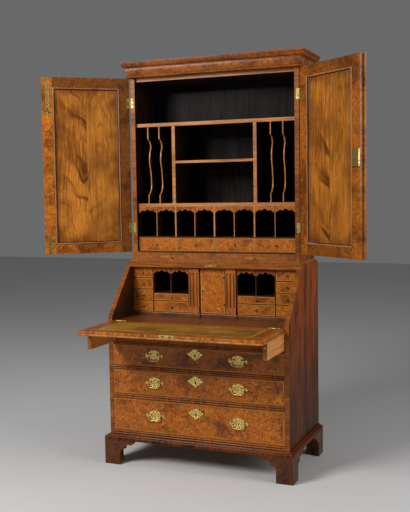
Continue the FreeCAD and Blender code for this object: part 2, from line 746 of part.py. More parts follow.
FLUTE_COUNT = 3
for word, side in SIDES.items():
    title = f"pilaster_slide_{word}"
    x = span(side, pilaster_near + s.small_gap, pilaster_far - s.small_gap)
    z = (plinth_top + s.seat_gap, ceiling - s.small_gap)
    shaft_plane = fit_front - s.pilaster_out
    cap_plane = shaft_plane - s.cap_out
    shaft = (z[0] + s.pilaster_base, z[1] - s.cap_height)
    pitch = s.pilaster_width / FLUTE_COUNT
    flutes = []
    for i in range(FLUTE_COUNT):
        start = (x[0] - s.small_gap + pitch * i + pitch / 2, shaft_plane, shaft[0])
        flutes.append(rod(f"{title}_flute_{i}", "z", s.flute_radius, start, shaft[1] - shaft[0]))
    behind = fit_front + s.small_front
    back = fit_front + small_depth
    CAP_SHARES = (0.45, 0.7, 1)
    pieces = [
        cut(f"{title}_shaft", board(f"{title}_blank", x, (shaft_plane, behind), shaft), flutes),
        board(f"{title}_base", x, (cap_plane, behind), (z[0], shaft[0])),
        board(f"{title}_left", (x[0], x[0] + s.small_wall), (behind, back), z),
        board(f"{title}_right", (x[1] - s.small_wall, x[1]), (behind, back), z),
        board(f"{title}_back", (x[0] + s.small_wall, x[1] - s.small_wall), (back - s.small_wall, back), z),
        board(f"{title}_floor", (x[0] + s.small_wall, x[1] - s.small_wall), (behind, back - s.small_wall),
              (z[0], z[0] + s.small_floor)),
    ]
    level = shaft[1]
    for i, share in enumerate(CAP_SHARES):
        top = shaft[1] + s.cap_height * (i + 1) / len(CAP_SHARES)
        pieces.append(board(f"{title}_cap_{i}", x, (shaft_plane - s.cap_out * share, behind), (level, top)))
        level = top
    node(title, pieces)

# Cupboard door between the pilasters, hung on the right

cup_x = (-cupboard_half + s.side_gap, cupboard_half - s.side_gap)
cup_z = (plinth_top + s.seat_gap, ceiling - s.top_gap)
cup_pin_x = cupboard_half
cup_pin_y = fit_front - s.small_barrel - s.seat_gap
CUP_HINGE_SHARES = (0.2, 0.8)
KEY_SHARE = 0.52
KEY_INSET_SHARE = 0.75
cupboard = [board("cupboard_panel", cup_x, (fit_front, fit_front + s.cupboard_thick), cup_z)]
cup_fixed = []
third = s.small_hinge / 3
for i, share in enumerate(CUP_HINGE_SHARES):
    level = cup_z[0] + (cup_z[1] - cup_z[0]) * share
    low = level - s.small_hinge / 2
    sleeve = rod(f"cup_sleeve_{i}", "z", s.small_barrel, (cup_pin_x, cup_pin_y, low + third), third)
    bore = rod(f"cup_bore_{i}", "z", s.pin_radius + s.pin_gap, (cup_pin_x, cup_pin_y, low), s.small_hinge)
    cupboard.append(cut(f"cup_barrel_{i}", sleeve, [bore]))
    leaf = (cup_pin_x - s.small_barrel - s.small_leaf, cup_pin_x - s.small_barrel)
    cupboard.append(board(f"cup_leaf_{i}", leaf, (fit_front - s.seat_gap - s.leaf_thick, fit_front),
                          (low + third, low + third * 2)))
    for end, start in (("low", low), ("high", low + third * 2 + s.seat_gap)):
        cup_fixed.append(rod(f"cup_fixed_{end}_{i}", "z", s.small_barrel, (cup_pin_x, cup_pin_y, start),
                             third - s.seat_gap))
    pin_start = (cup_pin_x, cup_pin_y, low + third - s.seat_gap)
    cup_fixed.append(rod(f"cup_pin_{i}", "z", s.pin_radius, pin_start, third + s.seat_gap * 2))
key_x = cup_x[0] + s.small_plate_width * KEY_INSET_SHARE
key_z = cup_z[0] + (cup_z[1] - cup_z[0]) * KEY_SHARE
cupboard.append(plate("cupboard_key_plate", KEY_PLATE_SHARES, key_x, key_z, s.small_plate_width,
                      s.small_plate_height, fit_front))
node("cupboard_door", cupboard)

# Valances: a shaped board across the top of each pigeonhole

VALANCE_SHARES = [
    [(0, 0)],
    [(0, 1)],
    [(0.05, 1)],
    [(0.08, 0.84), (0.14, 0.8)],
    [(0.14, 0.74)],
    [(0.22, 0.6), (0.32, 0.74)],
    [(0.4, 0.58), (0.5, 0.4)],
    [(0.6, 0.58), (0.68, 0.74)],
    [(0.78, 0.6), (0.86, 0.74)],
    [(0.86, 0.8)],
    [(0.92, 0.84), (0.95, 1)],
    [(1, 1)],
    [(1, 0)],
]


def valance(name, x, top, depth, plane):
    left, right = x
    return sawn(name, "xz", drawn(VALANCE_SHARES, right - left, -depth, left, top), plane, s.valance_thick)


valances = []
for word, side in SIDES.items():
    for i in range(2):
        near = hole_near + (hole_width + s.divider_thick) * i
        opening = span(side, near, near + hole_width)
        valances.append(valance(f"bureau_valance_{word}_{i}", opening, ceiling, s.bureau_valance, fit_front))

HOLE_COUNT = 8
hole_pitch = upper_inner * 2 / HOLE_COUNT
for i in range(HOLE_COUNT):
    left = -upper_inner + hole_pitch * i + s.divider_thick
    right = -upper_inner + hole_pitch * (i + 1) - s.divider_thick
    valances.append(valance(f"upper_valance_{i}", (left, right), folio_under, s.upper_valance, fit_plane))
node("pigeonhole_valances", valances)

# Sides of the bookcase, let in at the front edge for the hinge leaves

pin_x = upper_half + s.pin_out
pin_y = s.upper_front - s.seat_gap - s.pin_set
door_z = (rail_top + s.door_low, upper_top - s.door_high)
hinge_levels = (door_z[0] + s.hinge_end, door_z[1] - s.hinge_end)
upper_sides = []
for word, side in SIDES.items():
    x = span(side, upper_inner, upper_half)
    blank = board(f"upper_blank_{word}", x, (s.upper_front, s.case_depth), (bureau_top, upper_top))
    leaves = []
    for i, level in enumerate(hinge_levels):
        let_in = (s.upper_front, s.upper_front + s.leaf_thick)
        leaf_span = span(side, upper_half - s.hinge_leaf, upper_half)
        leaves.append(board(f"upper_let_{word}_{i}", leaf_span, let_in, about(level, s.hinge_length)))
    upper_sides.append(cut(f"bookcase_side_{word}", blank, leaves))
node("bookcase_sides", upper_sides)

# Boards of the bookcase: bottom, drawer floor, shelves and top

inside = (-upper_inner, upper_inner)
fitted = (fit_plane, case_back)
centre = (-s.centre_half, s.centre_half)
centre_floor = folio_floor + s.centre_rise
node("bookcase_boards", [
    board("upper_bottom", inside, (s.upper_front, case_back), (bureau_top, bureau_top + s.upper_bottom)),
    board("upper_drawer_floor", inside, (s.upper_front, case_back), (rail_top, upper_floor)),
    board("upper_drawer_top", inside, fitted, (hole_floor - s.drawer_shelf, hole_floor)),
    board("lower_shelf", inside, fitted, (folio_under, folio_floor)),
    board("centre_shelf", centre, fitted, (centre_floor, centre_floor + s.centre_thick)),
    board("upper_shelf", inside, fitted, (folio_top, top_floor_upper)),
    board("upper_top_board", inside, fitted, (upper_under, upper_top)),
])

UPPER_BACK_COUNT = 6
node("bookcase_back", back_boards("upper_back_board", upper_inner, bureau_top, upper_top, UPPER_BACK_COUNT))

# Uprights and dividers of the bookcase. The folio dividers are sawn to a serpentine front edge.

FOLIO_PLACE_SHARES = (0.36, 0.68)
FOLIO_EDGE_SHARES = [
    [(0, 0)],
    [(0, 0.11)],
    [(0.78, 0.17), (1, 0.28)],
    [(0.86, 0.41), (0.5, 0.52)],
    [(0.52, 0.63), (1, 0.73)],
    [(0.72, 0.8), (0, 0.84)],
    [(0, 1)],
]


def folio_divider(name, x):
    edge = drawn(FOLIO_EDGE_SHARES, s.folio_scoop, s.folio_height, fit_plane, folio_floor)
    outline = edge + [[(case_back, folio_top)], [(case_back, folio_floor)]]
    return sawn(name, "yz", outline, x - s.folio_thick / 2, s.folio_thick)


dividers = []
bay_near = s.centre_half + s.upright_thick
for word, side in SIDES.items():
    thickness = span(side, s.centre_half, bay_near)
    dividers.append(board(f"upright_{word}", thickness, fitted, (folio_floor, folio_top)))
    for i, share in enumerate(FOLIO_PLACE_SHARES):
        x = bay_near + (upper_inner - bay_near) * share
        dividers.append(folio_divider(f"folio_divider_{word}_{i}", side * x))
for i in range(1, HOLE_COUNT):
    stout = i % 2 == 0
    thick = s.hole_upright if stout else s.divider_thick
    x = about(-upper_inner + hole_pitch * i, thick)
    dividers.append(board(f"hole_upright_{i}", x, fitted, (hole_floor, folio_under)))
    if stout:
        dividers.append(board(f"drawer_upright_{i}", x, fitted, (upper_floor, hole_floor - s.drawer_shelf)))
node("bookcase_dividers", dividers)

# Upper drawers, four across

UPPER_DRAWERS = ("outer_left", "inner_left", "inner_right", "outer_right")
bay = upper_inner * 2 / len(UPPER_DRAWERS)
for i, word in enumerate(UPPER_DRAWERS):
    left = -upper_inner + bay * i + (s.hole_upright / 2 if i else 0)
    right = -upper_inner + bay * (i + 1) - (s.hole_upright / 2 if i < len(UPPER_DRAWERS) - 1 else 0)
    opening = (upper_floor, hole_floor - s.drawer_shelf)
    upper_depth = case_back - fit_plane - s.upper_room
    small_drawer(f"upper_drawer_{word}", (left, right), opening, fit_plane, upper_depth)

# Base rail of the bookcase, with the openings and runners of the candle slides, and the waist moulding

slide_floor = bureau_top + s.upper_bottom
candle_far = s.candle_x + s.candle_width
slide_top = slide_floor + s.candle_height + s.side_gap
face = (rail_plane, s.upper_front)
base_rail = [
    board("base_rail_low", (-upper_half, upper_half), face, (bureau_top, slide_floor)),
    board("base_rail_high", (-upper_half, upper_half), face, (slide_top, rail_top)),
    board("base_rail_middle", (-s.candle_x + s.side_gap, s.candle_x - s.side_gap), face,
          (slide_floor, slide_top)),
]
for word, side in SIDES.items():
    end = span(side, candle_far + s.side_gap, upper_half)
    base_rail.append(board(f"base_rail_{word}", end, face, (slide_floor, slide_top)))
    inner_guide = s.candle_x - s.side_gap - s.guide_thick
    for title, near in (("inner", inner_guide), ("outer", candle_far + s.side_gap)):
        runner = span(side, near, near + s.guide_thick)
        base_rail.append(
            board(f"slide_guide_{title}_{word}", runner, (s.upper_front, case_back), (slide_floor, rail_top)))
WAIST_SHARES = [[(0, 0)], [(1, 0)], [(1, 0.4)], [(0.5, 0.6), (0.22, 1)], [(0, 1)]]
waist_profile = drawn(WAIST_SHARES, s.waist_out, s.waist_height)
waist_run = round_three_sides(upper_half, rail_plane, s.case_depth, bureau_top)
base_rail += mitred("waist", waist_run, V(0, 0, 1), waist_profile)
bolt_x = s.stile_width / 2
bolt_y = (pin_y + s.pin_set - s.plate_thick - s.bolt_thick - s.bolt_gap, pin_y + s.pin_set - s.plate_thick)
keeper_x = (-bolt_x - s.bolt_width / 2 - s.bolt_gap, -bolt_x + s.bolt_width / 2 + s.bolt_gap)
keeper_y = (bolt_y[0] - s.bolt_gap, bolt_y[1] + s.bolt_gap)
keeper_low = board("keeper_low", keeper_x, keeper_y, (rail_top - s.bolt_travel * 2, rail_top))
base_rail[1] = cut("base_rail_upper", base_rail[1], [keeper_low])
node("base_rail", base_rail)

# Candle slides under the doors, pushed in

for word, side in SIDES.items():
    title = f"candle_slide_{word}"
    x = span(side, s.candle_x, candle_far)
    z = (slide_floor + s.seat_gap, slide_floor + s.candle_height)
    middle = side * (s.candle_x + s.candle_width / 2)
    pieces = [
        board(f"{title}_board", x, (rail_plane, case_back - s.candle_room), z),
        knob(f"{title}_knob", middle, rail_plane, (z[0] + z[1]) / 2),
    ]
    node(title, pieces)

# Cornice: a bead, a cushioned frieze, an ovolo and a flat lip, mitred at the corners

CORNICE_SHARES = [
    [(0.25, 0)],
    [(0.4, 0.055), (0.27, 0.115)],
    [(0.22, 0.13)],
    [(0.4, 0.38), (0.42, 0.6)],
    [(0.5, 0.6)],
    [(0.5, 0.66)],
    [(0.74, 0.7), (0.84, 0.84)],
    [(0.9, 0.84)],
    [(0.9, 0.9)],
    [(1, 0.9)],
    [(1, 1)],
]
cornice_profile = drawn(CORNICE_SHARES, s.cornice_out, s.cornice_height)
cornice_profile = [[(-s.side_thick, 0)]] + cornice_profile + [[(-s.side_thick, s.cornice_height)]]
cornice_front = s.upper_front - s.cornice_base
cornice_run = round_three_sides(upper_half, cornice_front, s.case_depth, upper_top)
cornice = mitred("cornice", cornice_run, V(0, 0, 1), cornice_profile)
keeper_high = board("keeper_high", keeper_x, keeper_y, (upper_top, upper_top + s.bolt_travel * 2))
cornice[1] = cut("cornice_front", cornice[1], [keeper_high])
cover = (upper_inner, cornice_front + s.side_thick)
cornice.append(board("cornice_cover", (-cover[0], cover[0]), (cover[1], s.case_depth),
                     (upper_top, upper_top + s.board_thick)))
node("cornice", cornice)

# Doors, drawn shut about their hinge pins and then swung open. Each is a frame of stiles and rails round a
# panel that is fielded outside and framed by a moulding inside.

stile_start = s.pin_out + s.side_gap
door_end = pin_x - s.meet_gap
opening_x = (stile_start + s.stile_width, door_end - s.stile_width)
opening_z = (door_z[0] + s.door_rail, door_z[1] - s.door_rail)
inner_face = s.pin_set
outer_face = s.pin_set - s.door_thick
panel_inner = inner_face - s.panel_set
panel_outer = panel_inner - s.panel_thick
door_y = (outer_face, inner_face)
PANEL_COVE_SHARES = [[(0, 0)], [(1, 0)], [(0.8, 0.33), (0.66, 0.8)]]
BEAD_TOP_SHARE = 0.33
panel_bead = drawn(PANEL_COVE_SHARES, s.bead_width, s.panel_set)
panel_bead.append([(s.bead_width * BEAD_TOP_SHARE, s.panel_set + s.bead_rise), (0, s.panel_set)])
BOLT_TIP_SHARES = [[(1, 0)], [(0.6, 0.22)], [(1.1, 0.5), (0.5, 0.8)], [(0, 1)], [(-0.5, 0.8)],
                   [(-1.1, 0.5), (-0.6, 0.22)], [(-1, 0)]]
bolt_line = door_end - bolt_x
case_brasses = list(cup_fixed)


def fielded(name, x, z):
    """The raised field of a panel, bevelled all round towards the outer face."""
    field = doc.addObject("Part::Wedge", name)
    rise = panel_outer - outer_face
    bind(field, "Xmin", 0)
    bind(field, "Zmin", 0)
    bind(field, "Ymin", 0)
    bind(field, "Xmax", x[1] - x[0])
    bind(field, "Zmax", z[1] - z[0])
    bind(field, "Ymax", rise)
    bind(field, "X2min", s.field_edge)
    bind(field, "X2max", x[1] - x[0] - s.field_edge)
    bind(field, "Z2min", s.field_edge)
    bind(field, "Z2max", z[1] - z[0] - s.field_edge)
    field.Placement = FreeCAD.Placement(V(), FreeCAD.Rotation(V(0, 0, 1), 180))
    for axis, value in zip("xyz", (x[1], panel_outer, z[0])):
        bind(field, f"Placement.Base.{axis}", value)
    return field


for word, side in SIDES.items():
    title = f"{word}_door"
    way = -side
    hinge_side = span(way, stile_start, opening_x[0])
    meeting_side = span(way, opening_x[1], door_end)
    between = span(way, *opening_x)
    barrels = []
    let_in = []
    for i, level in enumerate(hinge_levels):
        name = f"{title}_hinge_{i}"
        leaf_x = span(way, stile_start, stile_start + s.hinge_leaf)
        leaf_y = (inner_face - s.leaf_thick, inner_face)
        let_in.append(board(name + "_let", leaf_x, leaf_y, about(level, s.hinge_length)))
        barrels.append(board(name + "_leaf", leaf_x, leaf_y, about(level, s.hinge_length)))
        third = s.hinge_length / 3
        low = level - s.hinge_length / 2
        sleeve = rod(name + "_sleeve", "z", s.barrel_radius, (0, 0, low + third), third)
        bore = rod(name + "_bore", "z", s.pin_radius + s.pin_gap, (0, 0, low), s.hinge_length)
        barrels.append(cut(name + "_barrel", sleeve, [bore]))
        neck_x = span(way, s.barrel_radius, stile_start)
        barrels.append(board(name + "_neck", neck_x, leaf_y, (low + third, low + third * 2)))
        for end, start in (("low", low), ("high", low + third * 2 + s.seat_gap)):
            foot = (side * pin_x, pin_y, start)
            case_brasses.append(rod(f"{name}_fixed_{end}", "z", s.barrel_radius, foot, third - s.seat_gap))
        pin_start = (side * pin_x, pin_y, low + third - s.seat_gap)
        case_brasses.append(rod(name + "_pin", "z", s.pin_radius, pin_start, third + s.seat_gap * 2))
        case_leaf_x = span(side, upper_half - s.hinge_leaf, upper_half)
        case_leaf_y = (s.upper_front, s.upper_front + s.leaf_thick)
        case_leaf_z = about(level, s.hinge_length)
        case_brasses.append(board(f"{name}_case_leaf", case_leaf_x, case_leaf_y, case_leaf_z))
    hinge_blank = board(f"{title}_hinge_blank", hinge_side, door_y, door_z)
    hinge_stile = cut(f"{title}_hinge_stile", hinge_blank, let_in)
    meeting_stile = board(f"{title}_meeting_stile", meeting_side, door_y, door_z)
    brasses = barrels
    if side < 0:
        groove_x = about(bolt_line, s.bolt_width + s.bolt_gap * 2)
        plate_x = about(bolt_line, s.bolt_plate)
        plate_y = (inner_face - s.plate_thick, inner_face)
        groove_y = (plate_y[0] - s.bolt_thick - s.bolt_gap * 2, plate_y[0])
        bolt_span_y = (groove_y[0] + s.bolt_gap, groove_y[1] - s.bolt_gap)
        grooves = []
        stem = s.bolt_width - s.bolt_gap * 2
        bolts = (("top", door_z[1], -1, s.bolt_long), ("bottom", door_z[0], 1, s.bolt_short))
        for end, edge, inward, length in bolts:
            shoulder = edge + inward * (length - s.bolt_tip)
            tip = drawn(BOLT_TIP_SHARES, s.bolt_plate / 2, inward * s.bolt_tip, bolt_line, shoulder)
            outline = [[(plate_x[0], edge)], [(plate_x[1], edge)]] + tip
            bolt_z = span(inward, inward * edge, inward * shoulder)
            slot_z = span(inward, inward * shoulder - s.bolt_width - s.bolt_travel, inward * shoulder)
            grip = shoulder - inward * s.bolt_width / 2
            grooves.append(board(f"{end}_groove", groove_x, groove_y, bolt_z))
            grooves.append(sawn(f"{end}_plate_let", "xz", outline, plate_y[0], s.plate_thick))
            cover_plate = sawn(f"{end}_plate_blank", "xz", outline, plate_y[0], s.plate_thick)
            slot = board(f"{end}_plate_slot", about(bolt_line, s.bolt_width), plate_y, slot_z)
            brasses.append(cut(f"{end}_bolt_plate", cover_plate, [slot]))
            node(f"door_bolt_{end}", [
                board(f"{end}_bolt", about(bolt_line, s.bolt_width), bolt_span_y, bolt_z),
                board(f"{end}_bolt_stem", about(bolt_line, stem), (bolt_span_y[1], inner_face + s.bolt_gap),
                      about(grip, stem)),
                rod(f"{end}_bolt_knob", "y", s.bolt_knob, (bolt_line, inner_face + s.bolt_gap, grip),
                    s.bolt_width - s.bolt_gap),
            ], (side * pin_x, pin_y, 0), side * s.door_angle)
        meeting_stile = cut(f"{title}_bolt_stile", meeting_stile, grooves)
    pieces = [
        hinge_stile,
        meeting_stile,
        board(f"{title}_low_rail", between, door_y, (door_z[0], opening_z[0])),
        board(f"{title}_high_rail", between, door_y, (opening_z[1], door_z[1])),
        board(f"{title}_panel", between, (panel_outer, panel_inner), opening_z),
        fielded(f"{title}_field", between, opening_z),
    ]
    loop = [
        (vec(between[0], panel_inner, opening_z[0]), V(1, 0, 1)),
        (vec(between[1], panel_inner, opening_z[0]), V(-1, 0, 1)),
        (vec(between[1], panel_inner, opening_z[1]), V(-1, 0, -1)),
        (vec(between[0], panel_inner, opening_z[1]), V(1, 0, -1)),
    ]
    pieces += mitred(f"{title}_moulding", loop, V(0, 1, 0), panel_bead, True)
    if side > 0:
        strip = (-door_end - s.astragal_lap, -door_end - s.astragal_lap + s.astragal_width)
        strip_y = (outer_face - s.seat_gap - s.astragal_thick, outer_face - s.seat_gap)
        pieces.append(board("astragal", strip, strip_y, door_z))
        lock_z = about((door_z[0] + door_z[1]) / 2, s.lock_height)
        brasses.append(board("door_lock", (-door_end, -door_end + s.lock_width),
                             (inner_face, inner_face + s.lock_thick), lock_z))
    place = (side * pin_x, pin_y, 0)
    node(title, pieces, place, side * s.door_angle)
    node(f"{title}_brasses", brasses, place, side * s.door_angle)

# The fall, let down level: a veneered inner leaf between the case sides and a wider outer leaf that laps them

leather_x = (-fall_half + s.leather_side, fall_half - s.leather_side)
leather_y = (-fall_reach + s.leather_end, -s.leather_end)
skin = (bed_top - s.leather_thick, bed_top)
lock_x = (-s.fall_lock_width / 2, s.fall_lock_width / 2)
lock_y = (-fall_reach, -fall_reach + s.fall_lock_depth)
lock_skin = (bed_top - s.plate_thick, bed_top)
leaf = board("fall_blank", (-fall_half, fall_half), (-fall_reach, -s.joint_gap),
             (bed_top - fall_inner, bed_top))
fall_notches.append(board("leather_recess", leather_x, leather_y, skin))
fall_notches.append(board("lock_recess", lock_x, lock_y, lock_skin))
lip_half = fall_half + s.fall_lap
outer_leaf = board("fall_outer_blank", (-lip_half, lip_half), (-fall_length, -s.joint_gap),
                   (bed_top - fall_thick, bed_top - fall_inner))


def on_rim(point):
    """Edges along the sides and the free end of the fall, above and below its lip."""
    level = abs(point.z - float(bed_top - fall_inner - s.fall_lip / 2))
    beside = abs(point.x) > float(fall_half) or point.y < -float(fall_reach)
    return beside and level > float(s.fall_round) and point.y < -float(s.leather_end)


outer_leaf = rounded("fall_outer_leaf", outer_leaf, s.fall_round, on_rim)
node("fall", [cut("fall_inner_leaf", leaf, fall_notches), outer_leaf])
node("fall_leather", [board("leather", leather_x, leather_y, skin)])
fall_brasses = [board("fall_lock", lock_x, lock_y, lock_skin)]
third = s.fall_hinge_length / 3
for word, side in SIDES.items():
    hinge_span = about(side * fall_hinge_x, s.fall_hinge_length)
    start = hinge_span[0]
    leaf_z = (bed_top - s.leaf_thick, bed_top)
    fall_brasses.append(board(f"fall_plate_{word}", hinge_span, (-s.fall_leaf, -barrel_room), leaf_z))
    sleeve = rod(f"fall_sleeve_{word}", "x", s.barrel_radius, (start + third, 0, bed_top), third)
    bore = rod(f"fall_bore_{word}", "x", s.pin_radius + s.pin_gap, (start, 0, bed_top), s.fall_hinge_length)
    fall_brasses.append(cut(f"fall_sleeve_bored_{word}", sleeve, [bore]))
    case_brasses.append(board(f"bed_plate_{word}", hinge_span, (barrel_room, s.fall_leaf), leaf_z))
    pin_start = (start + third - s.seat_gap, 0, bed_top)
    case_brasses.append(rod(f"fall_pin_{word}", "x", s.pin_radius, pin_start, third + s.seat_gap * 2))
    for end, place in (("near", start), ("far", start + third * 2 + s.seat_gap)):
        case_brasses.append(
            rod(f"bed_barrel_{end}_{word}", "x", s.barrel_radius, (place, 0, bed_top), third - s.seat_gap))
node("fall_brasses", fall_brasses)
node("case_hinges", case_brasses)

# Lopers, drawn out to carry the fall

loper_top = bed_top - fall_thick - s.seat_gap
for word, side in SIDES.items():
    x = span(side, loper_near, loper_far)
    z = (loper_floor + s.seat_gap, loper_top)
    KNOB_SHARE = 0.72
    pieces = [
        board(f"loper_{word}_board", x, (0, case_back - s.loper_room), z),
        knob(f"loper_{word}_knob", (x[0] + x[1]) / 2, 0, z[0] + (z[1] - z[0]) * KNOB_SHARE),
    ]
    node(f"loper_{word}", pieces, (0, -s.loper_out, 0))

# Long drawers, each with two bail handles and an escutcheon

HANDLE_SHARE = 0.535
KEY_RISE_SHARE = 0.16
PIVOT_SHARE = 0.7
LONG_DRAWERS = (
    ("top", top_floor, s.top_drawer),
    ("middle", mid_floor, s.mid_drawer),
    ("bottom", low_floor, s.low_drawer),
)


def bail(name, x, z):
    """A bail: two arms and a sole joined by bends, with a middle bead and pivot ends that point inwards."""
    level = float(z)
    depth = -float(s.bail_out + s.plate_thick)
    radius, bend = float(s.bail_radius), float(s.bail_bend)
    foot = level - float(s.bail_drop)
    sole = float(s.bail_half - s.bail_bend)
    pivot_length = float(s.post_set - s.post_radius - s.pin_gap)
    pieces = [
        Part.makeCylinder(radius, sole * 2, V(float(x) - sole, depth, foot), V(1, 0, 0)),
        Part.makeSphere(float(s.bead_size), V(float(x), depth, foot), V(1, 0, 0)),
    ]
    for way in (-1, 1):
        arm = float(x) + way * float(s.bail_half)
        knee = V(arm, depth, foot + bend)
        pieces.append(Part.makeCylinder(radius, level + radius - knee.z, knee))
        section = Part.Face(Part.Wire(Part.makeCircle(radius, knee, V(0, 0, -1))))
        pieces.append(section.revolve(V(arm - way * bend, depth, knee.z), V(0, way, 0), 90))
        tip = V(arm, depth, level)
        pieces.append(Part.makeCylinder(radius * PIVOT_SHARE, pivot_length, tip, V(-way, 0, 0)))
    return solid(name, pieces[0].multiFuse(pieces[1:]))


for word, floor, height in LONG_DRAWERS:
    title = f"long_drawer_{word}"
    x = (-inner + s.side_gap, inner - s.side_gap)
    z = (floor + s.seat_gap, floor + height - s.top_gap)
    depth = case_back - s.drawer_room
    node(title, drawer(title, x, z, 0, depth, s.drawer_front, s.drawer_wall, s.drawer_floor))
    middle = floor + height * HANDLE_SHARE
    key_level = middle + height * KEY_RISE_SHARE
    brasses = []
    for side_word, side in SIDES.items():
        centre_x = side * s.handle_x
        pivot = middle + s.post_rise
        brasses.append(plate(f"{title}_plate_{side_word}", HANDLE_PLATE_SHARES, centre_x, middle,
                             s.plate_width, s.plate_height, 0))
        for end in (-1, 1):
            post_x = centre_x + end * (s.bail_half - s.post_set)
            start = (post_x, -s.plate_thick - s.post_length, pivot)
            brasses.append(rod(f"{title}_post_{side_word}", "y", s.post_radius, start, s.post_length))
        node(f"{word}_bail_{side_word}", [bail(f"{title}_bail_{side_word}", centre_x, pivot)])
    lock = plate(f"{title}_lock_plate", KEY_PLATE_SHARES, 0, key_level, s.lock_plate_width, s.plate_height, 0)
    key_start = (0, -s.plate_thick * 2, key_level)
    keyhole = rod(f"{title}_keyhole", "y", s.key_radius, key_start, s.plate_thick * 3)
    brasses.append(cut(f"{title}_escutcheon", lock, [keyhole]))
    node(f"{word}_drawer_brasses", brasses)

doc.recompute()

faults = [item.Label for item in doc.Objects if "Invalid" in item.State or "Error" in item.State]
faults += [item.Label for item in nodes if item.Shape.isNull() or not item.Shape.isValid()]
if faults:
    raise RuntimeError("not built: " + ", ".join(faults))

os.makedirs("parts", exist_ok=True)
for item in nodes:
    item.Shape.exportStep(f"parts/{item.Label}.step")
print(len(nodes), "sub-parts,", sum(len(item.Shape.Solids) for item in nodes), "solids")
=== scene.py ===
import json
import math
from types import SimpleNamespace

import bpy
from mathutils import Matrix, Vector

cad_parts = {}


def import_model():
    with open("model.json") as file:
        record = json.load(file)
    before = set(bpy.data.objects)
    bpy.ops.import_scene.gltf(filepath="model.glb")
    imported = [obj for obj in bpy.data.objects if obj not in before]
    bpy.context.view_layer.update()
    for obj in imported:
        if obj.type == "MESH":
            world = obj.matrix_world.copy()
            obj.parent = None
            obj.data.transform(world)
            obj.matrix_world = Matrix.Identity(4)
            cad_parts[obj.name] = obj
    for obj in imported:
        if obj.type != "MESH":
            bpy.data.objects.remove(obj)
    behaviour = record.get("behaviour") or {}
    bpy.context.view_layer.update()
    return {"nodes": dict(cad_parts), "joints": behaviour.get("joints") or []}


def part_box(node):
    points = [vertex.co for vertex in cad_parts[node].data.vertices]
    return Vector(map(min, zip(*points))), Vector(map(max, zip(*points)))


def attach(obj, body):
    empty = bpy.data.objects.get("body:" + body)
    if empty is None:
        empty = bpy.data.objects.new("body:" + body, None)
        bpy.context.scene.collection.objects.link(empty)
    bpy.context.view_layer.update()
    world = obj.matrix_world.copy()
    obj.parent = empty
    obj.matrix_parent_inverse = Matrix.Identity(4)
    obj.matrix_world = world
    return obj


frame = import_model()

# Sides of the lower case. Each is a wide board veneered in plain walnut with the grain upright, waxed for
# centuries, reddish above and darker towards the floor, with cross-grained facings on its front edges.

def add_node(tree, kind, inputs=None, **settings):
    """A node with its settings, and its inputs set or linked by name or number."""
    made = tree.nodes.new(kind)
    for name, value in settings.items():
        setattr(made, name, value)
    for key, value in (inputs or {}).items():
        if isinstance(value, bpy.types.NodeSocket):
            tree.links.new(value, made.inputs[key])
        else:
            made.inputs[key].default_value = value
    return made


def worked(tree, operation, *values):
    """A number worked out from others."""
    return add_node(tree, "ShaderNodeMath", dict(enumerate(values)), operation=operation).outputs[0]


def part_of(tree, value, share):
    """A share of a value."""
    return worked(tree, "MULTIPLY", value, share)


def moved(tree, operation, *values):
    """A point worked out from others."""
    return add_node(tree, "ShaderNodeVectorMath", dict(enumerate(values)), operation=operation).outputs[0]


def axes_of(tree, place):
    """The X, Y and Z of a place."""
    return add_node(tree, "ShaderNodeSeparateXYZ", {0: place}).outputs


def stepped(tree, value, low, high, start=0.0, end=1.0):
    """A soft step from start to end while a value goes from low to high."""
    given = dict(enumerate((value, low, high, start, end)))
    return add_node(tree, "ShaderNodeMapRange", given, interpolation_type="SMOOTHSTEP").outputs[0]


def mixed(tree, share, first, second):
    """Two colours in one, by a share."""
    return add_node(tree, "ShaderNodeMix", {0: share, 6: first, 7: second}, data_type="RGBA").outputs[2]


def noise(tree, place, scale, detail=2.0, roughness=0.5, distortion=0.0):
    """The outputs of a noise texture, round about a half."""
    inputs = {"Vector": place, "Scale": scale, "Detail": detail, "Roughness": roughness,
              "Distortion": distortion}
    return add_node(tree, "ShaderNodeTexNoise", inputs).outputs


def cloudy(tree, place, scale, **settings):
    """A value that comes and goes like clouds, round about a half."""
    return noise(tree, place, scale, **settings)["Fac"]


def drifting(tree, place, scale, reach):
    """A place moved about by a noise, by up to half a reach."""
    drift = moved(tree, "SUBTRACT", noise(tree, place, scale)["Color"], (0.5, 0.5, 0.5))
    pull = add_node(tree, "ShaderNodeVectorMath", {0: drift, "Scale": reach}, operation="SCALE").outputs[0]
    return moved(tree, "ADD", place, pull)


def new_group(name, inputs, outputs):
    """A shader node group with named sockets, and the sockets at its two ends."""
    tree = bpy.data.node_groups.new(name, "ShaderNodeTree")
    for title, value in inputs.items():
        kind = "NodeSocketFloat"
        if isinstance(value, tuple):
            kind = "NodeSocketVector" if len(value) == 3 else "NodeSocketColor"
        socket = tree.interface.new_socket(title, in_out="INPUT", socket_type=kind)
        socket.default_value = value
    for title in outputs:
        kind = "NodeSocketColor" if title == "Color" else "NodeSocketFloat"
        tree.interface.new_socket(title, in_out="OUTPUT", socket_type=kind)
    return tree, tree.nodes.new("NodeGroupInput").outputs, tree.nodes.new("NodeGroupOutput").inputs


def use_group(tree, group, place, **values):
    """A group's node in a material, at a place and with its own values."""
    node = add_node(tree, "ShaderNodeGroup", node_tree=group)
    tree.links.new(place, node.inputs["Place"])
    for title, value in values.items():
        node.inputs[title.replace("_", " ").capitalize()].default_value = value
    return node.outputs


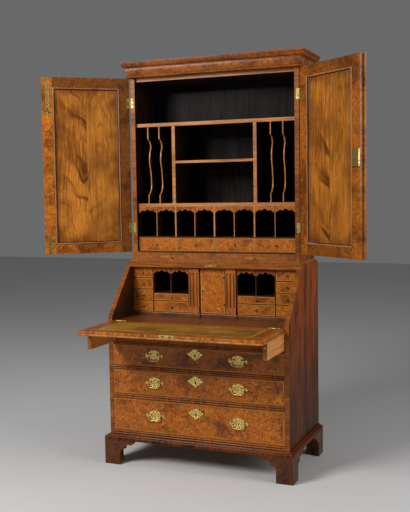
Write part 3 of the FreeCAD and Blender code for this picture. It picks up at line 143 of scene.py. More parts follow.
ORIGIN = (0.0, 0.0, 0.0)
FINISH_PARTS = ("Color", "Roughness", "Height")
GRAIN_DRIFT = 3.0
GRAIN_BEND = 0.22
STREAK_LENGTH = 0.06
STREAK_SHARE, CLOUD_SHARE = 0.62, 0.38
CLOUD_STRETCH = (1, 1, 0.45)
PORE_STRETCH = (900, 900, 28)
PORE_SHADE = 0.5


def make_walnut_grain():
    """Walnut with its grain along Z: long streaks bent by the figure, darker clouds and short open pores."""
    tree, given, result = new_group(
        "walnut_grain",
        {"Place": ORIGIN, "Light": (0.4, 0.15, 0.04, 1), "Dark": (0.1, 0.03, 0.01, 1),
         "Streaks": 60.0, "Figure": 0.5},
        FINISH_PARTS)
    bent = drifting(tree, given["Place"], GRAIN_DRIFT, part_of(tree, given["Figure"], GRAIN_BEND))
    along = part_of(tree, given["Streaks"], STREAK_LENGTH)
    stretch = add_node(tree, "ShaderNodeCombineXYZ", {0: given["Streaks"], 1: given["Streaks"], 2: along})
    drawn = moved(tree, "MULTIPLY", bent, stretch.outputs[0])
    streak = cloudy(tree, drawn, 1.0, detail=5.0, roughness=0.62)
    cloud = cloudy(tree, moved(tree, "MULTIPLY", bent, CLOUD_STRETCH), 7.0, detail=3.0)
    tone = worked(tree, "ADD", part_of(tree, streak, STREAK_SHARE), part_of(tree, cloud, CLOUD_SHARE))
    colour = mixed(tree, stepped(tree, tone, 0.36, 0.63), given["Dark"], given["Light"])
    pores = cloudy(tree, moved(tree, "MULTIPLY", bent, PORE_STRETCH), 1.0, detail=1.0)
    pores = stepped(tree, pores, 0.56, 0.72)
    colour = mixed(tree, part_of(tree, pores, PORE_SHADE), colour, given["Dark"])
    dull = stepped(tree, worked(tree, "ADD", pores, cloud), 0.2, 1.4, start=0.3, end=0.52)
    tree.links.new(colour, result["Color"])
    tree.links.new(dull, result["Roughness"])
    tree.links.new(worked(tree, "SUBTRACT", streak, pores), result["Height"])
    return tree


walnut_grain = make_walnut_grain()
ALONG_X = (0, math.radians(90), 0)
ALONG_Y = (math.radians(90), 0, 0)
ALONG_Z = (0, 0, 0)
WAX_ROUGHNESS = 0.16


def new_material(name, coat=0.05, gloss=0.2):
    """A material with its shader, ready for the nodes that colour it."""
    material = bpy.data.materials.new(name)
    material.use_nodes = True
    tree = material.node_tree
    shader = tree.nodes["Principled BSDF"]
    shader.inputs["Coat Weight"].default_value = coat
    shader.inputs["Coat Roughness"].default_value = WAX_ROUGHNESS
    shader.inputs["Specular IOR Level"].default_value = gloss
    return material, tree, shader, add_node(tree, "ShaderNodeTexCoord").outputs["Object"]


def laid(tree, place, **lie):
    """A place turned and moved to lie with a piece."""
    inputs = {title.capitalize(): value for title, value in lie.items()}
    return add_node(tree, "ShaderNodeMapping", {"Vector": place, **inputs}).outputs[0]


def set_surface(tree, shader, colour, roughness, height, strength, depth=0.0004):
    """Colour, roughness and small relief of a surface."""
    tree.links.new(colour, shader.inputs["Base Color"])
    tree.links.new(roughness, shader.inputs["Roughness"])
    bump = add_node(tree, "ShaderNodeBump", {"Height": height, "Strength": strength, "Distance": depth})
    tree.links.new(bump.outputs["Normal"], shader.inputs["Normal"])


def rgba(colour, share=1.0):
    """A colour, or a share of it, with its fourth value."""
    return (*(part * share for part in colour), 1)


def walnut(name, light, dark, turn=ALONG_Z, streaks=60.0, figure=0.5, foot=None, gloss=0.2, coat=0.05):
    """Polished walnut, its grain along the axis that a turn brings upright, with a colour for its foot."""
    material, tree, shader, place = new_material(name, coat, gloss)
    mapped = laid(tree, place, rotation=turn)
    grain = use_group(tree, walnut_grain, mapped, light=rgba(light), dark=rgba(dark), streaks=streaks,
                      figure=figure)
    colour = grain["Color"]
    if foot:
        patch = cloudy(tree, place, 4.0, detail=4.0, roughness=0.6)
        height = worked(tree, "ADD", axes_of(tree, place)["Z"], patch)
        colour = mixed(tree, stepped(tree, height, 0.6, 1.5, start=0.8, end=0.0), colour, rgba(foot))
    set_surface(tree, shader, colour, grain["Roughness"], grain["Height"], strength=0.25)
    return material


def paint(name, *rules):
    """Gives a node its materials: each face takes the first whose test passes at its centre and normal."""
    piece = frame["nodes"][name]
    piece.data.materials.clear()
    for material, test in rules:
        piece.data.materials.append(material)
    for face in piece.data.polygons:
        centre, normal = face.center.copy(), face.normal.copy()
        face.material_index = next(i for i, (material, test) in enumerate(rules) if test(centre, normal))


def anywhere(centre, normal):
    return True


def facing_out(centre, normal):
    return normal.x * centre.x > 0 and abs(normal.x) > 0.7


def on_slant_edge(centre, normal):
    return normal.y < -0.3 or normal.z > 0.3


side_walnut = walnut("side_walnut", (0.3, 0.062, 0.006), (0.042, 0.009, 0.002), ALONG_Z,
                     streaks=34.0, figure=0.5, foot=(0.022, 0.008, 0.004), gloss=0.06)
edge_walnut = walnut("edge_walnut", (0.34, 0.098, 0.012), (0.13, 0.034, 0.005), ALONG_X,
                     streaks=90.0, figure=0.2)
# Near-black walnut for the insides of the cases: painted shade.
shaded_inside_walnut = walnut("shaded_inside_walnut", (0.04, 0.018, 0.008), (0.014, 0.007, 0.004), ALONG_Z,
                       streaks=50.0, figure=0.3)
dark_walnut = walnut("dark_walnut", (0.11, 0.03, 0.006), (0.035, 0.009, 0.002), ALONG_X,
                     streaks=90.0, figure=0.2)
bed_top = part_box("fall")[1].z
paint("bureau_sides",
      (side_walnut, facing_out),
      (edge_walnut, on_slant_edge),
      (dark_walnut, lambda centre, normal: centre.z > bed_top),
      (shaded_inside_walnut, anywhere))

# Top, writing bed, dust boards and bottom of the lower case, in oak, with walnut on the faces and edges that
# show. The back boards are plain oak with the grain upright, dry and grey from the wall, held by rose-headed
# nails.

OAK = {"light": (0.36, 0.195, 0.075, 1), "dark": (0.16, 0.083, 0.031, 1)}
OAK_DUST = (0.15, 0.11, 0.075, 1)
OAK_OLD = (0.075, 0.042, 0.02, 1)
SEAM_DARK = (0.012, 0.008, 0.005, 1)
BACK_DUST, BOARD_DUST = 0.6, 0.25
LEAST_AGE, MORE_AGE = 0.2, 0.5
SEAM_SHADE = 0.95


def oak(name, turn, boards=None):
    """Old dry oak, coarse and dull: one board, or some side by side from an edge, each of a width."""
    material, tree, shader, place = new_material(name, coat=0.0, gloss=0.1)
    mapped = laid(tree, place, rotation=turn)
    if boards:
        edge, wide = boards
        number = worked(tree, "DIVIDE", worked(tree, "SUBTRACT", axes_of(tree, place)["X"], edge), wide)
        draw = {"W": worked(tree, "FLOOR", number)}
        own = add_node(tree, "ShaderNodeTexWhiteNoise", draw, noise_dimensions="1D").outputs
        mapped = moved(tree, "ADD", mapped, own["Color"])
    grain = use_group(tree, walnut_grain, mapped, streaks=120.0, figure=0.15, **OAK)
    dusty = cloudy(tree, place, 3.5, detail=4.0, roughness=0.6)
    dust = stepped(tree, dusty, 0.4, 0.7, start=0.0, end=BACK_DUST if boards else BOARD_DUST)
    colour = mixed(tree, dust, grain["Color"], OAK_DUST)
    if boards:
        age = worked(tree, "ADD", part_of(tree, own["Value"], MORE_AGE), LEAST_AGE)
        colour = mixed(tree, age, colour, OAK_OLD)
        seam = stepped(tree, worked(tree, "PINGPONG", number, 0.5), 0.004, 0.016, start=SEAM_SHADE, end=0.0)
        colour = mixed(tree, seam, colour, SEAM_DARK)
    dry = stepped(tree, dust, 0.0, BACK_DUST, start=0.66, end=0.82)
    set_surface(tree, shader, colour, dry, grain["Height"], strength=0.5)
    return material


oak_across = oak("oak_across", ALONG_X)
oak_deep = oak("oak_deep", ALONG_Y)
lining_walnut = walnut("lining_walnut", (0.17, 0.05, 0.009), (0.07, 0.019, 0.005), ALONG_Y,
                       streaks=60.0, figure=0.4)
FACING = 0.6
SAME_PLANE = 0.001
TOP_BOARD_FROM = 0.99


def facing_front(centre, normal):
    return normal.y < -FACING


def facing_up(centre, normal):
    return normal.z > FACING


def on_bed(centre, normal):
    return facing_up(centre, normal) and abs(centre.z - bed_top) < SAME_PLANE


def on_top_board(centre, normal):
    return facing_up(centre, normal) and centre.z > TOP_BOARD_FROM


paint("bureau_boards",
      (edge_walnut, facing_front),
      (lining_walnut, on_bed),
      (side_walnut, on_top_board),
      (oak_across, anywhere))


def back_oak(node, count):
    """Oak of a back that is made of some upright boards."""
    low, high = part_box(node)
    wide = (high.x - low.x) / count
    return oak(f"{node}_oak", ALONG_Z, (low.x, wide))


BUREAU_BACK_BOARDS = 5
paint("bureau_back", (back_oak("bureau_back", BUREAU_BACK_BOARDS), anywhere))


def new_shape_tree(name, sizes):
    """A geometry node tree with named sizes, a material, and the sockets at its two ends."""
    tree = bpy.data.node_groups.new(name, "GeometryNodeTree")
    tree.interface.new_socket("Geometry", in_out="INPUT", socket_type="NodeSocketGeometry")
    for title, value in sizes.items():
        tree.interface.new_socket(title, in_out="INPUT", socket_type="NodeSocketFloat").default_value = value
    tree.interface.new_socket("Material", in_out="INPUT", socket_type="NodeSocketMaterial")
    tree.interface.new_socket("Geometry", in_out="OUTPUT", socket_type="NodeSocketGeometry")
    return tree, tree.nodes.new("NodeGroupInput").outputs, tree.nodes.new("NodeGroupOutput").inputs


def set_on_points(tree, given, result, head):
    """Ends a tree: a head on each point, turned by the point's own angles, as one mesh with its material."""
    angles = add_node(tree, "GeometryNodeInputNamedAttribute", {"Name": "angles"}, data_type="FLOAT_VECTOR")
    turn = add_node(tree, "FunctionNodeEulerToRotation", {0: angles.outputs[0]}).outputs[0]
    heads = add_node(tree, "GeometryNodeInstanceOnPoints",
                     {"Points": given["Geometry"], "Instance": head, "Rotation": turn}).outputs[0]
    solid = add_node(tree, "GeometryNodeRealizeInstances", {0: heads}).outputs[0]
    done = add_node(tree, "GeometryNodeSetMaterial", {"Geometry": solid, "Material": given["Material"]})
    tree.links.new(done.outputs[0], result["Geometry"])


def make_rose_nails():
    """Hand-made nails: low six-sided heads that stand on the wood."""
    sizes = {"Head radius": 0.0045, "Crown radius": 0.0012, "Rise": 0.0007}
    tree, given, result = new_shape_tree("rose_nails", sizes)
    head = add_node(tree, "GeometryNodeMeshCone", {
        "Vertices": 6, "Radius Top": given["Crown radius"], "Radius Bottom": given["Head radius"],
        "Depth": given["Rise"]})
    set_on_points(tree, given, result, head.outputs["Mesh"])
    return tree


rose_nails = make_rose_nails()
HAND_SPIN = 0.7


def fasten(name, body, tree, material, places, **sizes):
    """One piece of nails or screws on a body: a head at each place, looking the way given with it."""
    points = bpy.data.meshes.new(name)
    points.from_pydata([point for point, facing in places], [], [])
    angles = points.attributes.new("angles", "FLOAT_VECTOR", "POINT")
    for i, (point, facing) in enumerate(places):
        lie = Vector(facing).to_track_quat("Z", "Y").to_matrix() @ Matrix.Rotation(i * HAND_SPIN, 3, "Z")
        angles.data[i].vector = lie.to_euler()
    piece = bpy.data.objects.new(name, points)
    bpy.context.scene.collection.objects.link(piece)
    heads = piece.modifiers.new("heads", "NODES")
    heads.node_group = tree
    values = {title.replace("_", " ").capitalize(): value for title, value in sizes.items()}
    values["Material"] = material
    for socket in tree.interface.items_tree:
        if socket.in_out == "INPUT" and socket.name in values:
            heads[socket.identifier] = values[socket.name]
    shaped = piece.evaluated_get(bpy.context.evaluated_depsgraph_get())
    piece.data = bpy.data.meshes.new_from_object(shaped)
    piece.modifiers.clear()
    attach(piece, body)


NAIL_SHARES = (0.22, 0.78)


def back_nails(node, count, levels):
    """Two nails in each back board of a node, at each of some levels."""
    low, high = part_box(node)
    wide = (high.x - low.x) / count
    return [((low.x + (i + share) * wide, high.y, level), (0, 1, 0))
            for i in range(count) for share in NAIL_SHARES for level in levels]


IRON_BLACK, IRON_RUST = (0.03, 0.027, 0.025, 1), (0.09, 0.035, 0.016, 1)


def iron(name):
    """Black iron with rust in patches."""
    material, tree, shader, place = new_material(name, coat=0.0)
    rust = stepped(tree, cloudy(tree, place, 240.0, detail=4.0, roughness=0.6), 0.42, 0.62)
    colour = mixed(tree, rust, IRON_BLACK, IRON_RUST)
    dull = stepped(tree, rust, 0.0, 1.0, start=0.5, end=0.85)
    set_surface(tree, shader, colour, dull, rust, strength=0.4, depth=0.0002)
    return material


nail_iron = iron("nail_iron")
BUREAU_NAIL_LEVELS = (0.18, 0.46, 0.735, 1.012)
fasten("bureau_back_nails", "case", rose_nails, nail_iron,
       back_nails("bureau_back", BUREAU_BACK_BOARDS, BUREAU_NAIL_LEVELS))

# Front rails between the drawers and the frieze under the fall. The rails are faced with cross-grained
# walnut worked to a double bead, whose faces that look up or down are painted dark as shade in its hollows.

rail_walnut = walnut("rail_walnut", (0.34, 0.098, 0.012), (0.12, 0.03, 0.004), ALONG_Z,
                     streaks=110.0, figure=0.1, gloss=0.12)
RAIL_FACING = -0.088


def on_rail_facing(centre, normal):
    return centre.y < RAIL_FACING


# Faces of the rail's bead that look up or down: painted shade in its hollows.
def in_shaded_rail_hollow(centre, normal):
    return on_rail_facing(centre, normal) and abs(normal.z) > 0.7


paint("drawer_rails", (dark_walnut, in_shaded_rail_hollow), (rail_walnut, on_rail_facing), (oak_across, anywhere))
paint("well_front", (rail_walnut, facing_front), (oak_deep, anywhere))

# Base moulding and bracket feet. The moulding is cross-grained walnut on an oak frame, and the feet are
# shaped boards veneered with dark burr full of curls and small dark eyes.

CURL_DRIFT, CURL_BEND = 16.0, 0.06
CURL_SWIRLS = 44.0
SWIRL_SHARE = 0.05
SMUDGE_SHADE, FLECK_SHADE, EYE_SHADE = 0.72, 0.6, 0.75


def make_burr_figure():
    """Burr walnut: curls of light and middle brown, dark smudges, short flecks and clusters of eyes."""
    tree, given, result = new_group(
        "burr_figure",
        {"Place": ORIGIN, "Light": (0.4, 0.13, 0.02, 1), "Middle": (0.24, 0.066, 0.01, 1),
         "Dark": (0.08, 0.02, 0.004, 1), "Fineness": 1.0},
        FINISH_PARTS)
    scaled = {0: given["Place"], "Scale": given["Fineness"]}
    place = add_node(tree, "ShaderNodeVectorMath", scaled, operation="SCALE").outputs[0]
    curled = drifting(tree, place, CURL_DRIFT, CURL_BEND)
    curl = cloudy(tree, curled, 46.0, detail=4.0, roughness=0.62, distortion=1.1)
    swirl = worked(tree, "SINE", part_of(tree, curl, CURL_SWIRLS))
    tone = worked(tree, "ADD", curl, part_of(tree, swirl, SWIRL_SHARE))
    colour = mixed(tree, stepped(tree, tone, 0.34, 0.66), given["Middle"], given["Light"])
    smudge = cloudy(tree, curled, 8.0, detail=4.0, roughness=0.6)
    smudged = stepped(tree, smudge, 0.54, 0.32, start=0.0, end=SMUDGE_SHADE)
    colour = mixed(tree, smudged, colour, given["Dark"])
    fleck = cloudy(tree, curled, 130.0, detail=3.0, roughness=0.6, distortion=0.9)
    fleck = part_of(tree, stepped(tree, fleck, 0.48, 0.62), FLECK_SHADE)
    colour = mixed(tree, fleck, colour, given["Dark"])
    pips = add_node(tree, "ShaderNodeTexVoronoi", {"Vector": curled, "Scale": 120.0}).outputs["Distance"]
    clusters = stepped(tree, smudge, 0.6, 0.48)
    eyes = worked(tree, "MULTIPLY", stepped(tree, pips, 0.1, 0.26, start=1.0, end=0.0), clusters)
    colour = mixed(tree, part_of(tree, eyes, EYE_SHADE), colour, given["Dark"])
    tree.links.new(colour, result["Color"])
    tree.links.new(stepped(tree, curl, 0.3, 0.7, start=0.42, end=0.28), result["Roughness"])
    tree.links.new(worked(tree, "SUBTRACT", curl, eyes), result["Height"])
    return tree


burr_figure = make_burr_figure()


def burr(name, light, middle, dark, fineness=1.0, start=ORIGIN, turn=ORIGIN, coat=0.12, tone=1.0):
    """A surface of burr walnut in a tone, its figure set to lie with the piece by a start and a turn."""
    material, tree, shader, place = new_material(name, coat)
    mapped = laid(tree, place, location=start, rotation=turn)
    figure = use_group(tree, burr_figure, mapped, light=rgba(light, tone), middle=rgba(middle, tone),
                       dark=rgba(dark, tone), fineness=fineness)
    set_surface(tree, shader, figure["Color"], figure["Roughness"], figure["Height"], strength=0.15)
    return material


base_walnut = walnut("base_walnut", (0.15, 0.034, 0.004), (0.026, 0.006, 0.0015), ALONG_Z,
                     streaks=95.0, figure=0.15, gloss=0.05)
foot_burr = burr("foot_burr", (0.13, 0.042, 0.01), (0.07, 0.022, 0.006), (0.02, 0.007, 0.003), coat=0.05)
paint("base_moulding", (base_walnut, anywhere))
paint("bracket_feet", (foot_burr, anywhere))

# Long drawers. The oak boxes have fronts veneered in burr walnut, framed by a narrow cross-grained band of
# paler wood with a thin dark line inside it.

WEAR_AND_SHADE_REACH = 0.004


def make_front_border():
    """Masks on a front about the origin in X and Z: its field, its line, its end bands, and a dark rim that
    is partly wear and partly painted shade of the gap round it.
    """
    tree, given, result = new_group(
        "front_border",
        {"Place": ORIGIN, "Half width": 0.1, "Half height": 0.05, "Band": 0.01, "Line width": 0.0007},
        ("Field", "Line", "Ends", "Wear and shade"))
    apart = axes_of(tree, given["Place"])
    beside = worked(tree, "SUBTRACT", given["Half width"], worked(tree, "ABSOLUTE", apart["X"]))
    above = worked(tree, "SUBTRACT", given["Half height"], worked(tree, "ABSOLUTE", apart["Z"]))
    inward = worked(tree, "MINIMUM", beside, above)
    tree.links.new(worked(tree, "GREATER_THAN", inward, given["Band"]), result["Field"])
    away = worked(tree, "ABSOLUTE", worked(tree, "SUBTRACT", inward, given["Band"]))
    tree.links.new(worked(tree, "LESS_THAN", away, given["Line width"]), result["Line"])
    tree.links.new(worked(tree, "LESS_THAN", beside, above), result["Ends"])
    # A dark rim at the very edge: partly wear, partly painted shade of the gap round the front.
    reach = part_of(tree, cloudy(tree, given["Place"], 40.0, detail=3.0), WEAR_AND_SHADE_REACH)
    worn_and_shaded = stepped(tree, worked(tree, "SUBTRACT", inward, reach), -0.0015, 0.0012, start=1.0, end=0.0)
    tree.links.new(worn_and_shaded, result["Wear and shade"])
    return tree


front_border = make_front_border()
DRAWER_BURR = {
    "light": (0.5, 0.15, 0.014, 1), "middle": (0.28, 0.07, 0.006, 1), "dark": (0.06, 0.013, 0.002, 1)}
PALE_BAND = {"light": (0.47, 0.155, 0.012, 1), "dark": (0.26, 0.075, 0.006, 1)}
DARK_LINE = (0.1, 0.03, 0.006, 1)
LINE_SHADE, WEAR_AND_GAP_SHADE = 0.7, 0.7
OWN_FIGURE = 3.7


def banded_front(name, middle, half_width, half_height, band, turn=ALONG_Z, field=DRAWER_BURR, fineness=1.0,
                 strip=PALE_BAND):
    """A front of burr walnut inside a line and a cross-grained band, a rectangle round its middle."""
    material, tree, shader, place = new_material(name)
    start = -(Matrix.Rotation(turn[0], 3, "X") @ Vector(middle))
    mapped = laid(tree, place, rotation=turn, location=start)
    border = use_group(tree, front_border, mapped, half_width=half_width, half_height=half_height, band=band)
    shifted = moved(tree, "ADD", mapped, tuple(OWN_FIGURE * part for part in middle))
    figure = use_group(tree, burr_figure, shifted, fineness=fineness, **field)
    apart = axes_of(tree, shifted)
    turned = add_node(tree, "ShaderNodeCombineXYZ", {0: apart["Z"], 1: apart["Y"], 2: apart["X"]}).outputs[0]
    strips = [use_group(tree, walnut_grain, lie, streaks=130.0, figure=0.1, **strip)["Color"]
              for lie in (shifted, turned)]
    colour = mixed(tree, border["Field"], mixed(tree, border["Ends"], *strips), figure["Color"])
    colour = mixed(tree, part_of(tree, border["Line"], LINE_SHADE), colour, DARK_LINE)
    # The rim darkens the edge: wear and painted shade of the gap round the front.
    colour = mixed(tree, part_of(tree, border["Wear and shade"], WEAR_AND_GAP_SHADE), colour, DARK_LINE)
    set_surface(tree, shader, colour, figure["Roughness"], figure["Height"], strength=0.12)
    return material


def front_rectangle(name, lip=0.0):
    """Middle, half width and half height of a node's front, a lip behind its foremost point."""
    low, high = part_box(name)
    middle = ((low.x + high.x) / 2, low.y + lip, (low.z + high.z) / 2)
    return middle, (high.x - low.x) / 2, (high.z - low.z) / 2


def facing_aside(centre, normal):
    return abs(normal.x) > FACING


STRAIGHT = 0.9


def front_at(plane):
    """A test for faces that lie in a front plane."""
    return lambda centre, normal: normal.y < -STRAIGHT and centre.y < plane + SAME_PLANE


LONG_DRAWERS = ("top", "middle", "bottom")
LONG_BAND = 0.0085
for word in LONG_DRAWERS:
    title = f"long_drawer_{word}"
    veneer = banded_front(f"{title}_veneer", *front_rectangle(title), LONG_BAND)
    paint(title,
          (veneer, front_at(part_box(title)[0].y)),
          (oak_deep, facing_aside),
          (oak_across, anywhere))

# Brasses of the long drawers: cast plates with cusped edges and chased leaves, turned posts and swinging
# bails, and escutcheons with keyholes. Years of polish leave bright tops and dark olive hollows.

SPOT_SHARE = 0.25


def make_patina():
    """Old brass: bright where it is rubbed, olive brown where polish never reaches."""
    tree, given, result = new_group(
        "brass_patina",
        {"Place": ORIGIN, "Bright": (0.6, 0.43, 0.14, 1), "Tarnish": (0.16, 0.11, 0.035, 1), "Age": 0.5},
        FINISH_PARTS)
    stain = cloudy(tree, given["Place"], 70.0, detail=5.0, roughness=0.65, distortion=0.6)
    spots = cloudy(tree, given["Place"], 420.0, detail=2.0)
    share = worked(tree, "MULTIPLY", stepped(tree, stain, 0.34, 0.66), given["Age"])
    share = worked(tree, "ADD", share, part_of(tree, stepped(tree, spots, 0.56, 0.7), SPOT_SHARE))
    tree.links.new(mixed(tree, share, given["Bright"], given["Tarnish"]), result["Color"])
    tree.links.new(stepped(tree, share, 0.0, 0.9, start=0.38, end=0.6), result["Roughness"])
    tree.links.new(worked(tree, "ADD", stain, spots), result["Height"])
    return tree


LEAF_LEAN = 0.6
LEAF_VEINS = 10.0


def make_chasing():
    """Cuts of a graver on a plate about the origin in X and Z: leaves mirrored about its upright middle."""
    tree, given, result = new_group("chasing", {"Place": ORIGIN, "Leaf scale": 66.0}, ("Cut", "Height"))
    apart = axes_of(tree, given["Place"])
    aside = worked(tree, "ABSOLUTE", apart["X"])
    lean = worked(tree, "ADD", apart["Z"], part_of(tree, aside, LEAF_LEAN))
    folded = add_node(tree, "ShaderNodeCombineXYZ", {0: aside, 2: lean}).outputs[0]
    leaf = add_node(tree, "ShaderNodeTexVoronoi", {"Vector": folded, "Scale": given["Leaf scale"]},
                    feature="DISTANCE_TO_EDGE").outputs["Distance"]
    vein = worked(tree, "ABSOLUTE", worked(tree, "SINE", part_of(tree, leaf, LEAF_VEINS)))
    groove = stepped(tree, vein, 0.15, 0.8, start=1.0, end=0.0)
    tree.links.new(groove, result["Cut"])
    tree.links.new(worked(tree, "SUBTRACT", 1.0, groove), result["Height"])
    return tree


brass_patina = make_patina()
chasing = make_chasing()
BRIGHT = (0.86, 0.63, 0.2)
TARNISH = (0.2, 0.14, 0.04)


def new_brass(name, age, shine=1.0):
    """The start of a brass: its shader, its place and its patina, with a share of the full shine."""
    material, tree, shader, place = new_material(name, coat=0.0)
    shader.inputs["Metallic"].default_value = 1.0
    patina = use_group(tree, brass_patina, place, bright=rgba(BRIGHT, shine), tarnish=rgba(TARNISH, shine),
                       age=age)
    return material, tree, shader, place, patina


def aged_brass(name, age, shine=1.0):
    """Plain brass, polished and tarnished."""
    material, tree, shader, place, patina = new_brass(name, age, shine)
    set_surface(tree, shader, patina["Color"], patina["Roughness"], patina["Height"],
                strength=0.1, depth=0.0002)
    return material


CUT_SHADE = 0.9
CUT_TARNISH = 0.3
KEY_SLOT_HALF, KEY_SLOT_SOFT = 0.0032, 0.0005
KEY_SLOT_TOP, KEY_SLOT_FOOT = 0.003, -0.012
KEYHOLE_SHADE = (0.004, 0.003, 0.002, 1)


def chased_brass(name, middle, keyhole=False):
    """A cut brass plate round its middle point, with its keyhole, where it has one, painted dark as
    the shade in the hole.
    """
    material, tree, shader, place, patina = new_brass(name, age=0.15, shine=1.15)
    mapped = laid(tree, place, location=tuple(-part for part in middle))
    cuts = use_group(tree, chasing, mapped)
    colour = mixed(tree, part_of(tree, cuts["Cut"], CUT_SHADE), patina["Color"], rgba(TARNISH, CUT_TARNISH))
    # The keyhole is painted near black: painted shade inside the hole.
    if keyhole:
        apart = axes_of(tree, mapped)
        aside = worked(tree, "ABSOLUTE", apart["X"])
        slot = stepped(tree, aside, KEY_SLOT_HALF, KEY_SLOT_HALF + KEY_SLOT_SOFT, start=1.0, end=0.0)
        under = worked(tree, "LESS_THAN", apart["Z"], KEY_SLOT_TOP)
        over = worked(tree, "GREATER_THAN", apart["Z"], KEY_SLOT_FOOT)
        hole = worked(tree, "MULTIPLY", slot, worked(tree, "MULTIPLY", under, over))
        colour = mixed(tree, hole, colour, KEYHOLE_SHADE)
    set_surface(tree, shader, colour, patina["Roughness"], cuts["Height"], strength=0.7, depth=0.0012)
    return material


handle_brass = aged_brass("handle_brass", age=0.5)
HANDLE_X = 0.225
PLATES_FROM, ESCUTCHEON_TO = 0.12, 0.06
PLATE_DROP = 0.005
KEY_LEVELS = {"top": 0.593, "middle": 0.458, "bottom": 0.296}
HANDS = {"left": -1, "right": 1}


def on_plate(side):
    """A test for the front of the handle plate on one side."""
    return lambda centre, normal: facing_front(centre, normal) and centre.x * side > PLATES_FROM


for word in LONG_DRAWERS:
    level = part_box(f"{word}_bail_left")[1].z - PLATE_DROP
    plates = [(chased_brass(f"{word}_plate_{hand}", (side * HANDLE_X, 0, level)), on_plate(side))
              for hand, side in HANDS.items()]
    escutcheon = chased_brass(f"{word}_escutcheon", (0, 0, KEY_LEVELS[word]), keyhole=True)
    paint(f"{word}_drawer_brasses",
          (escutcheon, lambda centre, normal: abs(centre.x) < ESCUTCHEON_TO),
          *plates,
          (handle_brass, anywhere))
    for hand in HANDS:
        paint(f"{word}_bail_{hand}", (handle_brass, anywhere))

# Lopers: the two slides that carry the fall, solid walnut on edge, pale along their sides where they rub
# and painted lighter still as light falling on them, with a cross-grained face and a small brass knob.

# Pale walnut on the sides, lightened further as painted light.
lit_loper_walnut = walnut("lit_loper_walnut", (0.68, 0.3, 0.085), (0.42, 0.165, 0.038), ALONG_Y,
                      streaks=60.0, figure=0.3)
loper_face = walnut("loper_face", (0.3, 0.1, 0.02), (0.15, 0.045, 0.01), ALONG_Z, streaks=90.0, figure=0.2)
knob_brass = aged_brass("knob_brass", age=0.6, shine=0.5)
KNOB_LENGTH = 0.013
CLEAR_OF_PLANE = 0.0002


def before(plane):
    """A test for faces that stand in front of a plane, such as a knob's."""
    return lambda centre, normal: centre.y < plane - CLEAR_OF_PLANE


for hand in HANDS:
    title = f"loper_{hand}"
    paint(title,
          (knob_brass, before(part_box(title)[0].y + KNOB_LENGTH)),
          (loper_face, facing_front),
          (lit_loper_walnut, anywhere))

# The fall, let down level. Its inner leaf has a cross-grained border round a leather skiver with a tooled
# edge, and its outer leaf, which shows when it is shut, is veneered in burr like the drawers.

FALL_BAND = 0.03
INNER_FACE_DEPTH = 0.003
BORDER_BAND = {"light": (0.38, 0.1, 0.009, 1), "dark": (0.19, 0.046, 0.004, 1)}
BORDER_BURR = {
    "light": (0.44, 0.112, 0.009, 1), "middle": (0.26, 0.058, 0.004, 1), "dark": (0.09, 0.02, 0.002, 1)}


def level_rectangle(name):
    """Middle, half width and half depth of a node that lies level."""
    low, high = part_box(name)
    return (low + high) / 2, (high.x - low.x) / 2, (high.y - low.y) / 2


def on_inner_leaf(centre, normal):
    return facing_up(centre, normal) and centre.z > bed_top - INNER_FACE_DEPTH


fall_veneer = banded_front("fall_veneer", *level_rectangle("fall"), LONG_BAND, ALONG_Y)
border_walnut = banded_front("border_walnut", *level_rectangle("fall"), FALL_BAND, ALONG_Y,
                             field=BORDER_BURR, strip=BORDER_BAND)
fall_edge = walnut("fall_edge", (0.5, 0.18, 0.024), (0.17, 0.047, 0.006), ALONG_Z, streaks=62.0, figure=0.15)
paint("fall",
      (border_walnut, on_inner_leaf),
      (fall_veneer, lambda centre, normal: normal.z < -FACING),
      (fall_edge, anywhere))
LEATHER_DARK, LEATHER_PALE = (0.16, 0.07, 0.007, 1), (0.38, 0.185, 0.02, 1)
LEATHER_PORES = (0.11, 0.048, 0.007, 1)
TOOLED_LINES = ((0.008, 0.0009), (0.0125, 0.0018), (0.017, 0.0006))
TOOLED_GOLD = (0.46, 0.31, 0.085, 1)
GOLD_LEFT = 0.75
PEBBLE_SCALE = 900.0


def tooled_leather(name, middle, half_width, half_height):
    """Thin golden olive leather, rubbed pale, with tooled and gilt lines along its edge."""
    material, tree, shader, place = new_material(name, coat=0.06)
    start = -(Matrix.Rotation(ALONG_Y[0], 3, "X") @ Vector(middle))
    mapped = laid(tree, place, rotation=ALONG_Y, location=start)
    rubbed = cloudy(tree, place, 5.0, detail=5.0, roughness=0.6)
    colour = mixed(tree, stepped(tree, rubbed, 0.36, 0.66), LEATHER_DARK, LEATHER_PALE)
    relief = cloudy(tree, place, 260.0, detail=3.0)
    colour = mixed(tree, stepped(tree, relief, 0.4, 0.75, start=0.0, end=0.4), colour, LEATHER_PORES)
    for inset, width in TOOLED_LINES:
        border = use_group(tree, front_border, mapped, half_width=half_width, half_height=half_height,
                           band=inset, line_width=width)
        colour = mixed(tree, part_of(tree, border["Line"], GOLD_LEFT), colour, TOOLED_GOLD)
        relief = worked(tree, "SUBTRACT", relief, border["Line"])
    pebbles = {"Vector": place, "Scale": PEBBLE_SCALE}
    pebble = add_node(tree, "ShaderNodeTexVoronoi", pebbles).outputs["Distance"]
    roughness = stepped(tree, rubbed, 0.3, 0.7, start=0.6, end=0.44)
    height = worked(tree, "ADD", pebble, relief)
    set_surface(tree, shader, colour, roughness, height, strength=0.35, depth=0.0003)
    return material


paint("fall_leather", (tooled_leather("leather", *level_rectangle("fall_leather")), anywhere))

# Lock and hinges of the fall: a brass lock let into its inner leaf, whose bolts come out through a plate on
# the edge, and two butt hinges held by slotted screws. A striking plate for the bolts is let into the edge
# of the top, over a black sheet that stands for the shade in the mortises behind its slots.

hinge_brass = aged_brass("hinge_brass", age=0.75, shine=0.6)
LOCK_TO = -0.3
paint("fall_brasses", (handle_brass, lambda centre, normal: centre.y < LOCK_TO), (hinge_brass, anywhere))


